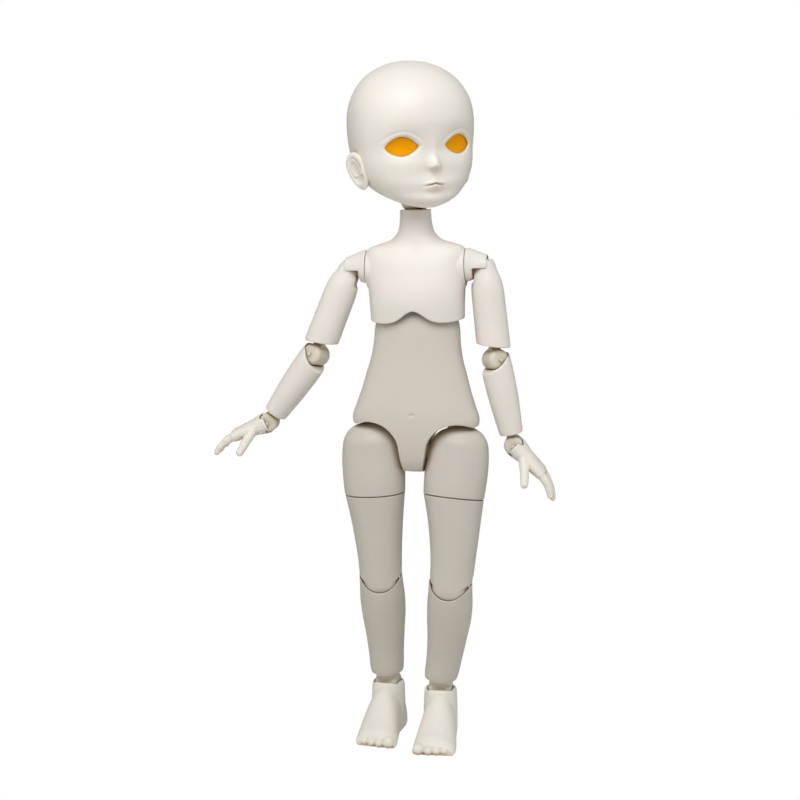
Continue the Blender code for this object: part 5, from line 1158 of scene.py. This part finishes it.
def build_leg(word, side):
    hip = place_of(f"hip_spread_{word}")
    spread = basis(hip, y=axis_of(f"hip_spread_{word}", -side), z=axis_of(f"thigh_turn_{word}", -side))
    turn = basis(place_of(f"thigh_turn_{word}"), x=axis_of(f"knee_{word}"),
        z=axis_of(f"thigh_turn_{word}", -side))
    knee = basis(place_of(f"knee_{word}"), x=axis_of(f"knee_{word}"), z=axis_of(f"ankle_turn_{word}", -side))
    ankle = basis(place_of(f"ankle_turn_{word}"), x=axis_of(f"ankle_bend_{word}"),
        z=axis_of(f"ankle_turn_{word}", -side))
    across = axis_of(f"ankle_bend_{word}")
    forward = np.cross((0, 0, 1), across)
    sole = basis(place_of(f"ankle_bend_{word}"), y=forward, z=np.array((0.0, 0.0, 1.0)))

    # Upper thigh
    upper = loft(f"upper_thigh_skin_{word}",
        table_in_metres(THIGH_TOP_SHARES, -THIGH_TOP, THIGH_WIDTH, THIGH_DEPTH))
    slot_half = HIP_TONGUE / 2 + CLEARANCE
    tongue_half = HIP_KNUCKLE_RADIUS * 0.66
    angles = (186, 140) if side > 0 else (-6, 40)
    near = HIP_SPACING / 2 - HIP_BOSS_REACH - RUNNING_GAP * 2
    wide = HIP_BOSS_RADIUS + RUNNING_GAP
    outline = []
    for angle in (radians(angles[0]), radians(angles[1])):
        for edge in (-wide, wide):
            for distance in (near, THIGH_WIDTH):
                outline.append((distance * cos(angle) - edge * sin(angle),
                    distance * sin(angle) + edge * cos(angle)))
    cutters = [
        prism("hip_slot", swept_bar(THIGH_WIDTH, *angles, tongue_half + RUNNING_GAP), -slot_half, slot_half),
        prism("hip_boss_room", hull(outline), -wide, wide),
    ]
    finish_piece(upper, spread, f"thigh_{word}", LEGS_PAINTED_SHADE, f"upper_thigh_{word}", (), cutters, VOXEL, 4)

    # Lower thigh, whose round end shows below a line that dips at the middle
    offset = KNEE_OFFSETS[word]
    drop = THIGH_LENGTH - THIGH_SEAM_DROP
    rows = [(-row[0] - CLEARANCE, *row[1:]) for row in table_in_metres(LOWER_THIGH_SHARES, drop,
        THIGH_WIDTH, THIGH_DEPTH)]
    lower = loft(f"lower_thigh_skin_{word}", rows, shape=lambda rings: bowed(rings, 0, -drop, offset))
    far = THIGH_WIDTH
    outline = knee_line(far, CLEARANCE / 2) + [(far, -drop - far), (-far, -drop - far)]
    outline = [(x + offset, z - drop if z > -drop else z) for x, z in outline]
    rise = far * KNEE_NOTCH_SHARE
    below = ((-far, -drop - far), (far, -drop - far), (far, rise - drop), (KNEE_RADIUS * 0.2, -drop),
        (0, -drop - far))
    cutters = [prism("knee_underside", outline, -far, far), prism("knee_notch", below[1:], -far, far, "X")]
    shaped = finish_piece(lower, np.eye(4), f"lower_thigh_{word}", IVORY, cutters=cutters, voxel=0, ease=0)
    knob = knee_knob("knee_knob", 0, (offset, 0, -drop))
    shaped = finish_piece(shaped, np.eye(4), f"lower_thigh_{word}", IVORY, joined=[knob], voxel=0, ease=0)
    cutters = []
    for end in (-1, 1):
        faces = sorted((offset + end * KNEE_LUG_PLACE, offset + end * far))
        room = [(-CLEARANCE, -drop)] + arc(KNEE_LUG_ROOM_RADIUS, 0, 92, 20, (0, -drop))
        cutters.append(prism(f"knee_lug_room_{end}", room, *faces, "X"))
    finish_piece(shaped, turn, f"lower_thigh_{word}", LEGS_PAINTED_SHADE, f"lower_thigh_{word}", (), cutters,
        FINE_VOXEL, 3)

    # Shin
    top = KNEE_RADIUS * 1.05
    rows = [(top * rise, KNEE_WIDTH / 2 * (0.9 + size / 10) * 1.035, KNEE_WIDTH / 2 * size,
        KNEE_WIDTH / 2 * size, 0, 2)
            for rise, size in ((0.98, 0.80), (0.86, 0.86), (0.6, 0.93))]
    rows += table_in_metres(SHIN_SHARES, -SHIN_LENGTH, KNEE_WIDTH, KNEE_WIDTH)
    shin = loft(f"shin_skin_{word}", rows, shape=lambda rings: bowed(rings, -SHIN_LENGTH * 0.86, 0, offset))
    notch = ((KNEE_RADIUS * 0.35, far), (KNEE_RADIUS * 0.35, KNEE_RADIUS * 0.35),
        (KNEE_RADIUS * 0.55, -KNEE_RADIUS * 0.1),
             (far, -far * CALF_NOTCH_SHARE), (far, far))
    above = [(x + offset, z) for x, z in knee_line(far, 0) + [(far, far * 3), (-far, far * 3)]]
    cutters = [
        knee_knob("knee_cup", RUNNING_GAP, (offset, 0, 0)),
        prism("shin_top_line", above, -far, far),
        prism("shin_notch", notch, -far, far, "X"),
    ]
    finish_piece(shin, knee, f"shin_{word}", LEGS_PAINTED_SHADE, f"shin_{word}", (), cutters, FINE_VOXEL, 3)
    half = KNEE_KNOB_WIDTH / 2
    profile = ((-half, KNEE_PIN_RADIUS * 0.8), (-half + CLEARANCE, KNEE_PIN_RADIUS),
        (half - CLEARANCE, KNEE_PIN_RADIUS),
               (half, KNEE_PIN_RADIUS * 0.8))
    pin = turned(f"knee_pin_rod_{word}", profile, "X", (offset, 0, 0))
    finish_piece(pin, knee, f"shin_{word}", STEEL, f"knee_pin_{word}", voxel=0, ease=0)

    # Ankle post
    post = barrel(f"ankle_skin_{word}", ANKLE_RADIUS, ANKLE_WIDTH)
    stack = [(0, 0.97), (0.34, 0.97), (0.38, 0.93), (0.42, 0.93), (0.46, 1.0), (0.90, 1.0), (0.955, 0.95)]
    joined = [
        skin("ankle_neck", [ring(ANKLE_WIDTH / 2 * size, ANKLE_NECK_THICKNESS / 2 * size,
        ANKLE_NECK_THICKNESS / 2 * size,
                                 rise * SHIN_END_GAP, squareness=2.3) for rise, size in stack]),
        rod("ankle_shaft", 0, SHIN_END_GAP * 1.6, ANKLE_SHAFT_RADIUS),
    ]
    finish_piece(post, ankle, f"ankle_{word}", JOINT, f"ankle_joint_{word}", joined, (), FINE_VOXEL, 3)

    # Foot
    length = FOOT_HEEL + FOOT_TOE
    rings = []
    angle = np.linspace(0.02, pi - 0.02, 44)
    curve = FOOT_CURVES[word]
    for along, wide, high in fine_rows([(a * length, w * FOOT_WIDTH / 2, h * ANKLE_HEIGHT) for a, w,
            h in FOOT_SHARES], 60):
        y = FOOT_HEEL - along
        arch = np.stack([wide * np.cos(angle), np.full(44, y),
            high * (0.06 + 0.94 * np.sin(angle) ** 0.85)], 1)
        base = np.stack([np.linspace(-wide * 0.9, wide * 0.9, 20), np.full(20, y), np.zeros(20)], 1)
        rings.append(np.vstack([arch, base]) + (curve * (min(y, 0) / FOOT_TOE) ** 2, 0, -ANKLE_HEIGHT))
    foot = skin(f"foot_skin_{word}", rings)
    collar = skin("collar", [
        ring(COLLAR_WIDTH / 2 * size, COLLAR_DEPTH / 2 * size, COLLAR_DEPTH / 2 * size, rise * ANKLE_HEIGHT)
        for rise, size in ((-0.78, 1.0), (-0.40, 1.0), (-0.15, 0.98), (-0.02, 0.955), (0.035, 0.92),
        (0.06, 0.84))
    ])
    joined = [collar]
    for i, (across, reach, size) in enumerate(TOE_SHARES):
        radius = size * FOOT_WIDTH / 2 * 0.92
        x = side * across * FOOT_WIDTH / 2 * 0.86
        tip = FOOT_HEEL - reach * length
        profile = [(tip + radius * 4.2, 0.86), (tip + radius * 2.4, 0.90), (tip + radius * 1.3, 1.0)]
        profile += [(tip + radius * (1 - cos(a)), sin(a)) for a in np.linspace(pi / 2.4, 0.12, 10)]
        x += curve * ((tip + radius * 2) / FOOT_TOE) ** 2
        joined.append(turned(f"toe_{i}", [(y, radius * share) for y, share in profile], "Y",
            (x, 0, radius - ANKLE_HEIGHT)))
    half_mouth = ANKLE_WIDTH / 2 + CLEARANCE
    open_half = ANKLE_RADIUS * 1.03
    cutters = [
        barrel("ankle_cup", ANKLE_RADIUS + RUNNING_GAP, ANKLE_WIDTH + RUNNING_GAP * 2),
        skin("ankle_mouth", [ring(half_mouth, open_half, open_half, height,
        squareness=3.4) for height in (0, ANKLE_HEIGHT)]),
        slab("sole_cut", (-length, -length, -length), (length, length, -ANKLE_HEIGHT)),
    ]
    finish_piece(foot, sole, f"foot_{word}", PAINTED_LIGHT_PALE, f"foot_{word}", joined, cutters, FINE_VOXEL, 5)


# Stage, light and camera

def build_stage():
    """A white ground that stays white to the eye and lights the doll softly from below."""
    floor = mesh_from("floor",
        np.array([(-2, -2, 0), (2, -2, 0), (2, 2, 0), (-2, 2, 0)], float) - (0, 0, 0.0002), [(0, 1, 2, 3)])
    made = bpy.data.materials.new("white_ground")
    made.use_nodes = True
    nodes, links = made.node_tree.nodes, made.node_tree.links
    nodes.remove(nodes["Principled BSDF"])
    out = nodes["Material Output"]
    seen = nodes.new("ShaderNodeEmission")
    body = nodes.new("ShaderNodeBsdfDiffuse")
    body.inputs["Color"].default_value = (0.80, 0.78, 0.75, 1)
    path = nodes.new("ShaderNodeLightPath")
    mix = nodes.new("ShaderNodeMixShader")
    links.new(path.outputs["Is Camera Ray"], mix.inputs["Fac"])
    links.new(body.outputs["BSDF"], mix.inputs[1])
    links.new(seen.outputs["Emission"], mix.inputs[2])
    links.new(mix.outputs["Shader"], out.inputs["Surface"])
    floor.data.materials.append(made)

    world = bpy.data.worlds.new("studio")
    world.use_nodes = True
    nodes, links = world.node_tree.nodes, world.node_tree.links
    ground = nodes["Background"]
    ground.inputs["Color"].default_value = (1, 1, 1, 1)
    ground.inputs["Strength"].default_value = 1.0
    fill = nodes.new("ShaderNodeBackground")
    fill.inputs["Color"].default_value = (1, 0.99, 0.97, 1)
    fill.inputs["Strength"].default_value = 0.25
    path = nodes.new("ShaderNodeLightPath")
    mix = nodes.new("ShaderNodeMixShader")
    links.new(path.outputs["Is Camera Ray"], mix.inputs["Fac"])
    links.new(fill.outputs["Background"], mix.inputs[1])
    links.new(ground.outputs["Background"], mix.inputs[2])
    links.new(mix.outputs["Shader"], nodes["World Output"].inputs["Surface"])
    bpy.context.scene.world = world


def soft_light(name, place, target, size, power):
    data = bpy.data.lights.new(name, "AREA")
    data.size = size
    data.energy = power
    lamp = bpy.data.objects.new(name, data)
    bpy.context.scene.collection.objects.link(lamp)
    lamp.location = place
    lamp.rotation_euler = (Vector(target) - Vector(place)).to_track_quat("-Z", "Y").to_euler()


def build_camera():
    """The photograph's view: a long lens, level with the chest and looking slightly down."""
    data = bpy.data.cameras.new("camera")
    data.lens = 82.44
    data.sensor_width = 36
    data.clip_start = 0.05
    camera = bpy.data.objects.new("camera", data)
    bpy.context.scene.collection.objects.link(camera)
    place = Vector((0.0079, -0.80, 0.25))
    aim = Vector((0.0079, 0, 0.1527))
    camera.location = place
    camera.rotation_euler = (aim - place).to_track_quat("-Z", "Y").to_euler()
    bpy.context.scene.camera = camera


build_camera()
build_torso()
build_head()
for side, word in ((1, "left"), (-1, "right")):
    build_arm(word, side)
    build_leg(word, side)
for name, node in frame["nodes"].items():
    if not node.hide_render:
        node.data.materials.clear()
        node.data.materials.append(JOINT)

build_stage()
soft_light("top", (-0.05, -0.62, 0.85), (0.015, 0, 0.2), 0.6, 6.35)
soft_light("left_side", (-0.9, -0.25, 0.35), (0.015, 0, 0.15), 0.8, 1.3)
soft_light("right_side", (0.9, -0.25, 0.35), (0.015, 0, 0.15), 0.8, 1.3)
bpy.context.scene.view_settings.view_transform = "Standard"
